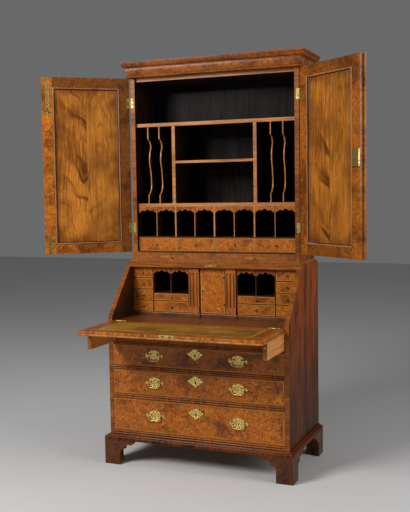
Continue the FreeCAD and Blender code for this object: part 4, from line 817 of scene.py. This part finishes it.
def make_slotted_screws():
    """Countersunk screws: round heads with a slot across them, nearly level with the metal."""
    sizes = {"Head radius": 0.003, "Rise": 0.0003, "Slot width": 0.0008}
    tree, given, result = new_shape_tree("slotted_screws", sizes)
    head = add_node(tree, "GeometryNodeMeshCylinder", {
        "Vertices": 14, "Radius": given["Head radius"], "Depth": part_of(tree, given["Rise"], 2.0)})
    length = part_of(tree, given["Head radius"], 3.0)
    reach = {0: length, 1: given["Slot width"], 2: given["Rise"]}
    size = add_node(tree, "ShaderNodeCombineXYZ", reach).outputs[0]
    slot = add_node(tree, "GeometryNodeMeshCube", {"Size": size}).outputs["Mesh"]
    lift = add_node(tree, "ShaderNodeCombineXYZ", {2: given["Rise"]}).outputs[0]
    raised = add_node(tree, "GeometryNodeTransform", {"Geometry": slot, "Translation": lift}).outputs[0]
    cut_head = add_node(tree, "GeometryNodeMeshBoolean", operation="DIFFERENCE", solver="EXACT")
    tree.links.new(head.outputs["Mesh"], cut_head.inputs["Mesh 1"])
    tree.links.new(raised, cut_head.inputs["Mesh 2"])
    set_on_points(tree, given, result, cut_head.outputs["Mesh"])
    return tree


slotted_screws = make_slotted_screws()
screw_brass = aged_brass("screw_brass", age=1.0, shine=0.4)
UP = (0, 0, 1)
HINGE_X = 0.41
HINGE_STEPS = (-0.019, 0, 0.019)
HINGE_INSET = 0.016
LOCK_SCREW_X = 0.031
LOCK_SCREW_INSETS = (0.006, 0.028)
hinge_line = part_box("fall")[1].y
lock_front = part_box("fall_brasses")[0].y


def hinge_screws(way):
    """Three screws in each hinge of the fall, before or behind the line of its pins."""
    return [((side * HINGE_X + step, hinge_line + way * HINGE_INSET, bed_top), UP)
            for side in HANDS.values() for step in HINGE_STEPS]


lock_screws = [((side * LOCK_SCREW_X, lock_front + inset, bed_top), UP)
               for side in HANDS.values() for inset in LOCK_SCREW_INSETS]
fasten("fall_screws", "fall", slotted_screws, screw_brass, hinge_screws(-1) + lock_screws)
fasten("bed_screws", "case", slotted_screws, screw_brass, hinge_screws(1))


def rectangle(width, height, x=0.0):
    """Corners of a rectangle on the middle line of a plate."""
    return [(x + a * width / 2, b * height / 2) for a, b in ((-1, -1), (1, -1), (1, 1), (-1, 1))]


def let_in_plate(name, body, lie, material, outlines, thick):
    """A thin plate with slots cut in it: drawn flat, its rim first, cut out, and laid in its place."""
    drawing = bpy.data.curves.new(name, "CURVE")
    drawing.dimensions = "2D"
    drawing.fill_mode = "BOTH"
    drawing.extrude = thick / 2
    for corners in outlines:
        outline = drawing.splines.new("POLY")
        outline.points.add(len(corners) - 1)
        for point, (x, y) in zip(outline.points, corners):
            point.co = (x, y, 0, 1)
        outline.use_cyclic_u = True
    blank = bpy.data.objects.new(name + "_blank", drawing)
    bpy.context.scene.collection.objects.link(blank)
    shaped = blank.evaluated_get(bpy.context.evaluated_depsgraph_get())
    mesh = bpy.data.meshes.new_from_object(shaped)
    bpy.data.objects.remove(blank)
    mesh.transform(lie)
    mesh.materials.clear()
    mesh.materials.append(material)
    piece = bpy.data.objects.new(name, mesh)
    bpy.context.scene.collection.objects.link(piece)
    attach(piece, body)


OUTER_LEAF = 0.009
BOLT_SLOT, BOLT_X = (0.013, 0.006), 0.018
EDGE_PLATE, EDGE_HOLLOW = (0.075, 0.0115), (0.072, 0.0105)
STRIKING_PLATE, STRIKING_SHADE_SHEET = (0.06, 0.011), (0.057, 0.01)
fall_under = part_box("fall")[0].z
edge_middle = (0, lock_front, (fall_under + OUTER_LEAF + bed_top) / 2)
edge_lie = Matrix.Translation(edge_middle) @ Matrix.Rotation(math.pi / 2, 4, "X")
bolt_slots = [rectangle(*BOLT_SLOT, side * BOLT_X) for side in HANDS.values()]
let_in_plate("fall_lock_bolts", "fall", edge_lie, nail_iron, [rectangle(*EDGE_HOLLOW)], thick=0.0004)
let_in_plate("fall_lock_edge", "fall", edge_lie, handle_brass, [rectangle(*EDGE_PLATE)] + bolt_slots,
             thick=0.0012)
top_rim = {}
for vertex in frame["nodes"]["bureau_boards"].data.vertices:
    if vertex.co.z > TOP_BOARD_FROM:
        level = round(vertex.co.z, 4)
        top_rim[level] = min(top_rim.get(level, vertex.co.y), vertex.co.y)
under, over = min(top_rim), max(top_rim)
slope = math.atan2(over - under, top_rim[over] - top_rim[under])
rim_middle = (0, (top_rim[under] + top_rim[over]) / 2, (under + over) / 2)
rim_lie = Matrix.Translation(rim_middle) @ Matrix.Rotation(slope, 4, "X")
# A black iron sheet behind the striking plate's slots: painted shade in its mortises.
let_in_plate("striking_slot_shade", "case", rim_lie, nail_iron, [rectangle(*STRIKING_SHADE_SHEET)], thick=0.0002)
let_in_plate("striking_plate", "case", rim_lie, handle_brass, [rectangle(*STRIKING_PLATE)] + bolt_slots,
             thick=0.0006)
KEY_PLATE_HALF = (0.0105, 0.0165)
RIM_STEPS = 64
CUSPS, CUSP_REACH = 8, 0.12
KEYHOLE_FOOT = (0.0018, -0.009)
KEYHOLE_RADIUS = 0.0026
KEYHOLE_STEPS, KEYHOLE_FROM, KEYHOLE_TURN = 12, -50, 280
KEYHOLE_SHADE_SHEET = (0.008, 0.022)
FALL_KEY_INSET = 0.03


def key_plate(name, body, lie):
    """An escutcheon with a cusped rim round a keyhole, over a black sheet for the shade in the hole."""
    half_x, half_y = KEY_PLATE_HALF
    rim = []
    for step in range(RIM_STEPS):
        angle = 2 * math.pi * step / RIM_STEPS
        reach = 1 + CUSP_REACH * abs(math.cos(CUSPS / 2 * angle))
        rim.append((half_x * reach * math.cos(angle), half_y * reach * math.sin(angle)))
    foot_x, foot_y = KEYHOLE_FOOT
    hole = [(-foot_x, foot_y), (foot_x, foot_y)]
    for step in range(KEYHOLE_STEPS + 1):
        angle = math.radians(KEYHOLE_FROM + step * KEYHOLE_TURN / KEYHOLE_STEPS)
        hole.append((KEYHOLE_RADIUS * math.cos(angle), KEYHOLE_RADIUS * math.sin(angle)))
    # A black iron sheet behind the keyhole: painted shade in the hole.
    let_in_plate(f"{name}_hollow", body, lie, nail_iron, [rectangle(*KEYHOLE_SHADE_SHEET)], thick=0.0002)
    let_in_plate(f"{name}_plate", body, lie, handle_brass, [rim, hole], thick=0.0016)


fall_key = (0, lock_front + FALL_KEY_INSET, fall_under)
fall_outside = Matrix.Translation(fall_key) @ Matrix.Rotation(math.pi, 4, "X")
key_plate("fall_key", "fall", fall_outside)

# Fitted interior of the bureau: thin walnut partitions and shelves with dark front edges, small drawers,
# pilasters in front of hidden slides, a cupboard door and shaped valances.

PLINTH_RISE = 0.021


def on_plinth(centre, normal):
    return facing_front(centre, normal) and centre.z < bed_top + PLINTH_RISE


# Faces of the interior other than its fronts are near-black walnut: painted shade in the pigeonholes.
paint("interior_carcase", (lining_walnut, on_plinth), (dark_walnut, facing_front), (shaded_inside_walnut, anywhere))
valance_burr = burr("valance_burr", (0.5, 0.16, 0.02), (0.3, 0.085, 0.011), (0.1, 0.024, 0.004),
                    fineness=1.4)
paint("pigeonhole_valances", (valance_burr, facing_front), (dark_walnut, anywhere))
SMALL_BAND = 0.005
SMALL_LOOK = {
    "field": {
        "light": (0.6, 0.18, 0.018, 1), "middle": (0.35, 0.092, 0.009, 1), "dark": (0.1, 0.022, 0.003, 1)},
    "strip": {"light": (0.7, 0.28, 0.04, 1), "dark": (0.46, 0.16, 0.019, 1)}}


def dress_small_drawer(title):
    """A small drawer: an oak box with a banded burr front and a brass knob."""
    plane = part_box(title)[0].y + KNOB_LENGTH
    veneer = banded_front(f"{title}_veneer", *front_rectangle(title, KNOB_LENGTH), SMALL_BAND, fineness=1.3,
                          **SMALL_LOOK)
    paint(title,
          (knob_brass, before(plane)),
          (veneer, front_at(plane)),
          (oak_deep, facing_aside),
          (oak_across, anywhere))


SMALL_DRAWERS = [f"stack_drawer_{i}" for i in (1, 2, 3, 4)] + ["under_drawer_upper", "under_drawer_lower"]
for hand in HANDS:
    for word in SMALL_DRAWERS:
        dress_small_drawer(f"{hand}_{word}")
PILASTER_BACK = 0.16
pilaster_walnut = walnut("pilaster_walnut", (0.5, 0.155, 0.02), (0.23, 0.062, 0.009), ALONG_Z,
                         streaks=80.0, figure=0.3)
# Darker walnut in the flutes of the pilasters: painted shade in the grooves.
flute_shade_walnut = walnut("flute_shade_walnut", (0.24, 0.066, 0.01), (0.1, 0.025, 0.004), ALONG_Z,
                      streaks=80.0, figure=0.3)


def on_pilaster(centre, normal):
    return centre.y < PILASTER_BACK


def in_shaded_flute(centre, normal):
    return on_pilaster(centre, normal) and (abs(normal.z) > 0.5 or 0.2 < abs(normal.x) < 0.97)


for hand in HANDS:
    paint(f"pilaster_slide_{hand}",
          (flute_shade_walnut, in_shaded_flute),
          (pilaster_walnut, on_pilaster),
          (oak_deep, anywhere))
CUPBOARD_BAND = 0.006
CUPBOARD_KEY = (-0.0535, 0, 0.887)
cupboard_low, cupboard_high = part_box("cupboard_door")
cupboard_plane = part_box("left_stack_drawer_1")[0].y + KNOB_LENGTH
cupboard_middle = (0, cupboard_plane, (cupboard_low.z + cupboard_high.z) / 2)
cupboard_half = (-cupboard_low.x, (cupboard_high.z - cupboard_low.z) / 2)
cupboard_veneer = banded_front("cupboard_veneer", cupboard_middle, *cupboard_half, CUPBOARD_BAND,
                               fineness=1.2, **SMALL_LOOK)
small_escutcheon = chased_brass("small_escutcheon", CUPBOARD_KEY, keyhole=True)
hinge_iron = iron("hinge_iron")
on_cupboard_metal = before(cupboard_plane)
paint("cupboard_door",
      (small_escutcheon, lambda centre, normal: on_cupboard_metal(centre, normal) and centre.x < 0),
      (hinge_iron, on_cupboard_metal),
      (cupboard_veneer, facing_front),
      (shaded_inside_walnut, anywhere))

# The bookcase: walnut sides, and oak shelves and dividers faced with pale walnut, painted nearly black
# inside as shade, against upright back boards that have never been polished, painted nearly black as shade
# too, nailed on from behind. Four small drawers stand at its foot.

DRAWER_SHELF_TO = 1.16
BOOKCASE_BACK_BOARDS = 6
BOOKCASE_NAIL_LEVELS = (1.06, 1.36, 1.69, 1.985)
shelf_edge = walnut("shelf_edge", (0.55, 0.22, 0.066), (0.28, 0.1, 0.026), ALONG_X, streaks=90.0, figure=0.2)
# Near-black walnut on the inner face of the back: painted shade.
shaded_back_boards = walnut("shaded_back_boards", (0.02, 0.015, 0.012), (0.006, 0.0045, 0.004), ALONG_Z,
                     streaks=45.0, figure=0.15, gloss=0.03)


def on_low_shelf_edge(centre, normal):
    return facing_front(centre, normal) and centre.z < DRAWER_SHELF_TO


paint("bookcase_sides", (side_walnut, facing_out), (edge_walnut, facing_front), (shaded_inside_walnut, anywhere))
paint("bookcase_boards",
      (dark_walnut, on_low_shelf_edge),
      (shelf_edge, facing_front),
      (shaded_inside_walnut, anywhere))
paint("bookcase_dividers", (shelf_edge, lambda centre, normal: normal.y < -0.25), (shaded_inside_walnut, anywhere))
paint("bookcase_back",
      (back_oak("bookcase_back", BOOKCASE_BACK_BOARDS), lambda centre, normal: normal.y > FACING),
      (shaded_back_boards, anywhere))
fasten("bookcase_back_nails", "case", rose_nails, nail_iron,
       back_nails("bookcase_back", BOOKCASE_BACK_BOARDS, BOOKCASE_NAIL_LEVELS))
for word in ("outer", "inner"):
    for hand in HANDS:
        dress_small_drawer(f"upper_drawer_{word}_{hand}")

# Base rail of the bookcase, in burr, with its cross-grained waist moulding, and the two small slides that
# pull out of it on a knob, each a thin walnut board with a burr front framed by a line.

WAIST_TO = 1.042
SLIDE_BAND = 0.003
waist_walnut = walnut("waist_walnut", (0.34, 0.11, 0.018), (0.15, 0.042, 0.008), ALONG_Z,
                      streaks=110.0, figure=0.1)
rail_burr = burr("rail_burr", (0.42, 0.13, 0.018), (0.25, 0.07, 0.01), (0.09, 0.022, 0.005), fineness=1.2)


def over_waist(centre, normal):
    """A test for the upright faces of the rail over its moulding, without its back."""
    return abs(normal.z) < 0.3 and normal.y < 0.5 and centre.z > WAIST_TO


paint("base_rail", (rail_burr, over_waist), (waist_walnut, anywhere))
slide_walnut = walnut("slide_walnut", (0.32, 0.11, 0.024), (0.15, 0.045, 0.011), ALONG_Y,
                      streaks=60.0, figure=0.3)
for hand in HANDS:
    title = f"candle_slide_{hand}"
    veneer = banded_front(f"{title}_veneer", *front_rectangle(title, KNOB_LENGTH), SLIDE_BAND, fineness=1.4,
                          **SMALL_LOOK)
    paint(title,
          (knob_brass, before(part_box(title)[0].y + KNOB_LENGTH)),
          (veneer, facing_front),
          (slide_walnut, anywhere))

# Cornice: burr on its cushioned frieze and cross-grained walnut on the mouldings, mitred round the top of
# the bookcase, with a dusty oak cover board.

cornice_walnut = walnut("cornice_walnut", (0.3, 0.08, 0.009), (0.1, 0.024, 0.004), ALONG_Z,
                        streaks=95.0, figure=0.15, gloss=0.05)
cornice_burr = burr("cornice_burr", (0.4, 0.12, 0.012), (0.22, 0.058, 0.006), (0.05, 0.012, 0.003),
                    coat=0.05)
cornice_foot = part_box("cornice")[0].z
COVER_RISE = 0.02
FRIEZE_FROM, FRIEZE_TO = 0.012, 0.048


def on_cornice_inside(centre, normal):
    """A test for the rough oak that nobody sees from the floor: the cover board and the mouldings' backs."""
    looks_up = normal.z > STRAIGHT and centre.z > cornice_foot + COVER_RISE
    return looks_up or normal.y > STRAIGHT or normal.x * centre.x < -0.3


def on_frieze(centre, normal):
    return FRIEZE_FROM < centre.z - cornice_foot < FRIEZE_TO


paint("cornice", (oak_across, on_cornice_inside), (cornice_burr, on_frieze), (cornice_walnut, anywhere))

# Doors, swung back. Each has burr stiles and rails round a panel of two plain boards joined upright in its
# middle, with dark shadows in the grain of one half, and a glossy bead between panel and frame.

STILE, RAIL, BEAD = 0.055, 0.052, 0.013
STILE_PLAY = 0.0008
BEAD_DEPTH, CREST_DEPTH = 0.0085, 0.002


def measure_door(hand, side):
    """A door's side, the turn that brings it back to its shut place, and how far it reaches there."""
    hinge = next(joint for joint in frame["joints"] if joint["name"] == f"{hand}_door_hinge")
    pin = Matrix.Translation(hinge["pos_m"])
    turn = Matrix.Rotation(math.radians(hinge["range_deg"][0]), 4, Vector(hinge["axis"]))
    shut = pin @ turn @ pin.inverted()
    corners = [shut @ vertex.co for vertex in frame["nodes"][f"{hand}_door"].data.vertices]
    return SimpleNamespace(
        side=side, shut=shut,
        wide=max(side * corner.x for corner in corners),
        low=min(corner.z for corner in corners),
        high=max(corner.z for corner in corners),
        inside=max(corner.y for corner in corners))


def laid_shut(tree, place, door):
    """A place on a swung door, brought to where it is when the door is shut."""
    return laid(tree, place, rotation=door.shut.to_euler(), location=door.shut.translation)


SHADOW_DRIFT, SHADOW_BEND = 6.0, 0.11
RAGGED_REACH = 0.2
STROKE_LEAN, STROKE_FALL = 0.3, 2.6
STROKES_ACROSS, STROKES_DOWN = 2.0, 10.0
RING_DRIFT, RING_BEND = 7.0, 0.1
RING_STRETCH, RING_HEART, RING_PITCH = (1, 0, 0.13), (-0.07, 0, 0.03), 0.014


def make_shadow_figure():
    """Shadows on a panel about the origin: strokes that fall to its middle seam, strong in one half."""
    tree, given, result = new_group(
        "shadow_figure",
        {"Place": ORIGIN, "Half width": 0.16, "Half height": 0.4},
        ("Shadow", "Seam", "Plain half", "Ring", "Edge shade"))
    flat = axes_of(tree, given["Place"])
    from_seam = worked(tree, "ABSOLUTE", flat["X"])
    beside = worked(tree, "SUBTRACT", given["Half width"], from_seam)
    above = worked(tree, "SUBTRACT", given["Half height"], worked(tree, "ABSOLUTE", flat["Z"]))
    # A ragged band along the panel's edges, next to its frame: painted shade.
    ragged = part_of(tree, cloudy(tree, given["Place"], 8.0, detail=4.0, roughness=0.6), RAGGED_REACH)
    rim = worked(tree, "SUBTRACT", worked(tree, "MINIMUM", beside, above), ragged)
    tree.links.new(stepped(tree, rim, -0.11, -0.02, start=1.0, end=0.0), result["Edge shade"])
    tree.links.new(stepped(tree, from_seam, 0.0004, 0.0012, start=1.0, end=0.0), result["Seam"])
    plain = worked(tree, "GREATER_THAN", flat["X"], 0.0)
    tree.links.new(plain, result["Plain half"])

    bent = axes_of(tree, drifting(tree, given["Place"], SHADOW_DRIFT, SHADOW_BEND))
    inward = worked(tree, "SUBTRACT", given["Half width"], worked(tree, "ABSOLUTE", bent["X"]))
    leaning = worked(tree, "ADD", bent["Z"], part_of(tree, inward, STROKE_LEAN))
    falling = part_of(tree, worked(tree, "MULTIPLY", inward, inward), STROKE_FALL)
    level = worked(tree, "ADD", leaning, falling)
    lie = add_node(tree, "ShaderNodeCombineXYZ", {
        0: part_of(tree, inward, STROKES_ACROSS), 1: worked(tree, "ADD", plain, bent["Y"]),
        2: part_of(tree, level, STROKES_DOWN)}).outputs[0]
    stroke = stepped(tree, cloudy(tree, lie, 1.0, detail=2.5, roughness=0.55), 0.49, 0.6)
    near_seam = stepped(tree, inward, 0.0, given["Half width"], start=0.25, end=1.0)
    strength = stepped(tree, plain, 0.0, 1.0, start=1.0, end=0.35)
    shadow = worked(tree, "MULTIPLY", worked(tree, "MULTIPLY", stroke, near_seam), strength)
    tree.links.new(shadow, result["Shadow"])

    drawn = moved(tree, "MULTIPLY", drifting(tree, given["Place"], RING_DRIFT, RING_BEND), RING_STRETCH)
    from_heart = {0: moved(tree, "ADD", drawn, RING_HEART)}
    far = add_node(tree, "ShaderNodeVectorMath", from_heart, operation="LENGTH").outputs["Value"]
    ring = worked(tree, "SINE", part_of(tree, far, 2 * math.pi / RING_PITCH))
    faint = stepped(tree, cloudy(tree, given["Place"], 9.0, detail=3.0), 0.35, 0.6)
    tree.links.new(worked(tree, "MULTIPLY", stepped(tree, ring, 0.6, 1.0), faint), result["Ring"])
    return tree


shadow_figure = make_shadow_figure()
PANEL_LIGHT, PANEL_DARK = (0.62, 0.22, 0.025), (0.22, 0.066, 0.008)
PANEL_GOLD = (0.5, 0.19, 0.024)
PANEL_EDGE_SHADE = (0.11, 0.029, 0.005, 1)
CLOUD_DARK = (0.13, 0.036, 0.005, 1)
STROKE_DARK = (0.06, 0.014, 0.002, 1)
JOINT_DARK = (0.1, 0.028, 0.006, 1)


def panel_walnut(name, door, draw, tone):
    """A swung door's panel, its figure laid on the shut door as seen from inside, with a draw and a tone."""
    material, tree, shader, place = new_material(name, coat=0.06, gloss=0.16)
    seen_from = (door.side * door.wide / 2, door.inside + draw, -(door.low + door.high) / 2)
    lie = laid(tree, laid_shut(tree, place, door), rotation=(0, 0, math.pi), location=seen_from)
    shadow = use_group(tree, shadow_figure, lie, half_width=door.wide / 2 - STILE,
                       half_height=(door.high - door.low) / 2 - RAIL)
    grain = use_group(tree, walnut_grain, lie, light=rgba(PANEL_LIGHT, tone), dark=rgba(PANEL_DARK, tone),
                      streaks=95.0, figure=0.22)
    cloud = stepped(tree, cloudy(tree, lie, 5.0, detail=4.0, roughness=0.6), 0.52, 0.3)
    colour = grain["Color"]
    for mask, share, shade in ((shadow["Plain half"], 0.3, rgba(PANEL_GOLD, tone)),
                               (shadow["Edge shade"], 0.75, PANEL_EDGE_SHADE),
                               (cloud, 0.6, CLOUD_DARK),
                               (shadow["Shadow"], 0.9, STROKE_DARK),
                               (shadow["Ring"], 0.5, CLOUD_DARK),
                               (shadow["Seam"], 0.45, JOINT_DARK)):
        colour = mixed(tree, part_of(tree, mask, share), colour, shade)
    set_surface(tree, shader, colour, grain["Roughness"], grain["Height"], strength=0.2)
    return material


def in_board(door, board):
    """A test for the faces of one stile or rail of a door."""
    def test(centre, normal):
        point = door.shut @ centre
        across = door.side * point.x
        if across > door.wide - STILE:
            return board == "hinge_stile"
        if across < STILE + STILE_PLAY:
            return board == "meeting_stile"
        if point.z > door.high - RAIL:
            return board == "top_rail"
        return board == "bottom_rail" and point.z < door.low + RAIL
    return test


def in_bead(door, depth=BEAD_DEPTH, lean=-0.5):
    """A test for the bead round a door's panel, down to a depth and up to a lean away from the room."""
    def test(centre, normal):
        point = door.shut @ centre
        across = door.side * point.x
        from_stiles = min(door.wide - STILE - across, across - STILE)
        from_rails = min(point.z - door.low - RAIL, door.high - RAIL - point.z)
        looking = (door.shut.to_3x3() @ normal).y
        return min(from_stiles, from_rails) < BEAD and point.y > door.inside - depth and looking > lean
    return test


bead_walnut = walnut("bead_walnut", (0.1, 0.026, 0.005), (0.03, 0.008, 0.002), ALONG_Z,
                     streaks=120.0, figure=0.1, coat=0.8)
# The bead's crest, where its faces look into the room, is a lighter copy: a painted highlight.
bead_crest_highlight = walnut("bead_crest_highlight", (0.42, 0.22, 0.1), (0.2, 0.085, 0.03), ALONG_Z,
                    streaks=120.0, figure=0.1, coat=0.8)
DOOR_BURR = ((0.52, 0.16, 0.013), (0.3, 0.08, 0.007), (0.07, 0.016, 0.002))
FIGURE_DRAWS = {"left": 0.0, "right": 2.7}
# Painted light and shade: the right panel darker, and each stile and rail lighter or darker as lit.
PANEL_SHADE = {"left": 1.0, "right": 0.78}
BOARD_LIGHT_AND_SHADE = {
    "left": {"hinge_stile": 0.5, "meeting_stile": 1.25, "top_rail": 0.5, "bottom_rail": 0.95},
    "right": {"hinge_stile": 0.85, "meeting_stile": 0.85, "top_rail": 0.55, "bottom_rail": 0.55}}
doors = {hand: measure_door(hand, side) for hand, side in HANDS.items()}
for hand, door in doors.items():
    title = f"{hand}_door"
    panel = panel_walnut(f"{title}_panel", door, FIGURE_DRAWS[hand], PANEL_SHADE[hand])
    boards = []
    for board, tone in BOARD_LIGHT_AND_SHADE[hand].items():
        veneer = burr(f"{title}_{board}", *DOOR_BURR, fineness=1.1, start=door.shut.translation,
                      turn=door.shut.to_euler(), tone=tone)
        boards.append((veneer, in_board(door, board)))
    paint(title,
          *boards,
          (bead_crest_highlight, in_bead(door, CREST_DEPTH, lean=0.7)),
          (bead_walnut, in_bead(door)),
          (panel, anywhere))

# Hinges, bolts and lock of the doors: butt hinges and, in the left door, two bolts behind ribbed plates, all
# held by small screws. The lock sits in the right door, with its keyhole plate outside.

RIB_PITCH = 0.0067
RIB_TARNISH = 0.25


def ribbed_brass(name, door, line):
    """Brass of a bolt's plate, drawn with ribs along its length on a line of the shut door."""
    material, tree, shader, place, patina = new_brass(name, age=0.3, shine=0.6)
    across = worked(tree, "SUBTRACT", axes_of(tree, laid_shut(tree, place, door))["X"], line)
    ribs = worked(tree, "COSINE", part_of(tree, across, 2 * math.pi / RIB_PITCH))
    hollow = stepped(tree, ribs, 0.3, -0.6, start=0.0, end=0.9)
    colour = mixed(tree, hollow, patina["Color"], rgba(TARNISH, RIB_TARNISH))
    set_surface(tree, shader, colour, patina["Roughness"], ribs, strength=0.5, depth=0.0006)
    return material


BOLT_LINE = -0.0283
BOLT_PLATE_HALF = 0.014


def on_bolt_plate(centre, normal):
    return abs((doors["left"].shut @ centre).x - BOLT_LINE) < BOLT_PLATE_HALF


plate_brass = ribbed_brass("left_door_plate_brass", doors["left"], BOLT_LINE)
paint("left_door_brasses", (plate_brass, on_bolt_plate), (hinge_brass, anywhere))
for title in ("right_door_brasses", "door_bolt_top", "door_bolt_bottom", "case_hinges"):
    paint(title, (hinge_brass, anywhere))
LEAF_X = 0.4535
LEAF_LEVELS = [level + step for level in (1.21, 1.87) for step in (-0.017, 0, 0.017)]
CASE_LEAF_Y, DOOR_LEAF_Y, LOCK_FACE_Y = 0.172, 0.1717, 0.1807
BOLT_SCREWS = [(BOLT_LINE + x, DOOR_LEAF_Y, z)
               for x in (-0.0075, 0.0075) for z in (1.086, 1.155, 1.83, 1.994)]
LOCK_SCREWS = [(x, LOCK_FACE_Y, z) for x in (0.0068, 0.0428) for z in (1.506, 1.574)]
DOOR_KEY = (0.0248, 0.1517, 1.54)
SMALL_SCREW = {"head_radius": 0.0022, "rise": 0.00012}


def fasten_door(hand, more):
    """The screws of a door's hinges and more of them, placed on the shut door and swung open with it."""
    door = doors[hand]
    swung = door.shut.inverted()
    inwards = swung.to_3x3() @ Vector((0, 1, 0))
    spots = [(door.side * LEAF_X, DOOR_LEAF_Y, level) for level in LEAF_LEVELS] + more
    screws = [(swung @ Vector(spot), inwards) for spot in spots]
    fasten(f"{hand}_door_screws", f"{hand}_door", slotted_screws, screw_brass, screws, **SMALL_SCREW)


fasten_door("left", BOLT_SCREWS)
door_outside = Matrix.Translation(DOOR_KEY) @ Matrix.Rotation(math.pi / 2, 4, "X")
key_plate("door_key", "right_door", doors["right"].shut.inverted() @ door_outside)
fasten_door("right", LOCK_SCREWS)
case_screws = [((side * LEAF_X, CASE_LEAF_Y, level), (0, -1, 0))
               for side in HANDS.values() for level in LEAF_LEVELS]
fasten("case_hinge_screws", "case", slotted_screws, screw_brass, case_screws, **SMALL_SCREW)

# Studio: a pale floor, a plain grey surround, a broad soft lamp high on the left, a weaker one from the
# right, and the camera a little above the middle, to the right of the case.

FLOOR_SIZE = 24
FLOOR_GREY, FLOOR_PALE = (0.58, 0.575, 0.57, 1), (0.64, 0.635, 0.63, 1)
FLOOR_ROUGHNESS = 0.85
floor_material, tree, shader, place = new_material("studio_floor", coat=0.0)
haze = cloudy(tree, place, 0.6, detail=2.0)
tree.links.new(mixed(tree, haze, FLOOR_GREY, FLOOR_PALE), shader.inputs["Base Color"])
shader.inputs["Roughness"].default_value = FLOOR_ROUGHNESS
bpy.ops.mesh.primitive_plane_add(size=FLOOR_SIZE)
floor = bpy.context.object
floor.name = "floor"
floor.data.materials.append(floor_material)

SURROUND_GREY = (0.78, 0.79, 0.8, 1)
SURROUND_STRENGTH = 0.18
world = bpy.data.worlds.new("studio_world")
bpy.context.scene.world = world
world.use_nodes = True
surround = world.node_tree.nodes["Background"].inputs
surround["Color"].default_value = SURROUND_GREY
surround["Strength"].default_value = SURROUND_STRENGTH
CASE_MIDDLE = (0, 0, 1.0)


def soft_lamp(name, place, size, power):
    """A square soft lamp at a place, turned to the middle of the case."""
    lamp = bpy.data.lights.new(name, "AREA")
    lamp.size = size
    lamp.energy = power
    holder = bpy.data.objects.new(name, lamp)
    holder.location = place
    holder.rotation_euler = (Vector(CASE_MIDDLE) - Vector(place)).to_track_quat("-Z", "Y").to_euler()
    bpy.context.scene.collection.objects.link(holder)


soft_lamp("key_lamp", (-2.0, -3.6, 3.4), size=1.7, power=215)
soft_lamp("fill_lamp", (4.0, -0.6, 2.4), size=2.2, power=90)

CAMERA_PLACE = (1.636, -3.907, 1.4)
CAMERA_YAW, CAMERA_PITCH, CAMERA_ROLL = 0.3917, -0.0763, -0.0152
CAMERA_LENS, CAMERA_SENSOR = 59.73, 36
camera = bpy.data.cameras.new("camera")
camera.lens = CAMERA_LENS
camera.sensor_width = CAMERA_SENSOR
viewpoint = bpy.data.objects.new("camera", camera)
bpy.context.scene.collection.objects.link(viewpoint)
viewpoint.matrix_world = (
    Matrix.Translation(CAMERA_PLACE) @ Matrix.Rotation(CAMERA_YAW, 4, "Z")
    @ Matrix.Rotation(math.pi / 2 + CAMERA_PITCH, 4, "X") @ Matrix.Rotation(CAMERA_ROLL, 4, "Z"))
bpy.context.scene.camera = viewpoint
bpy.context.scene.view_settings.view_transform = "Standard"
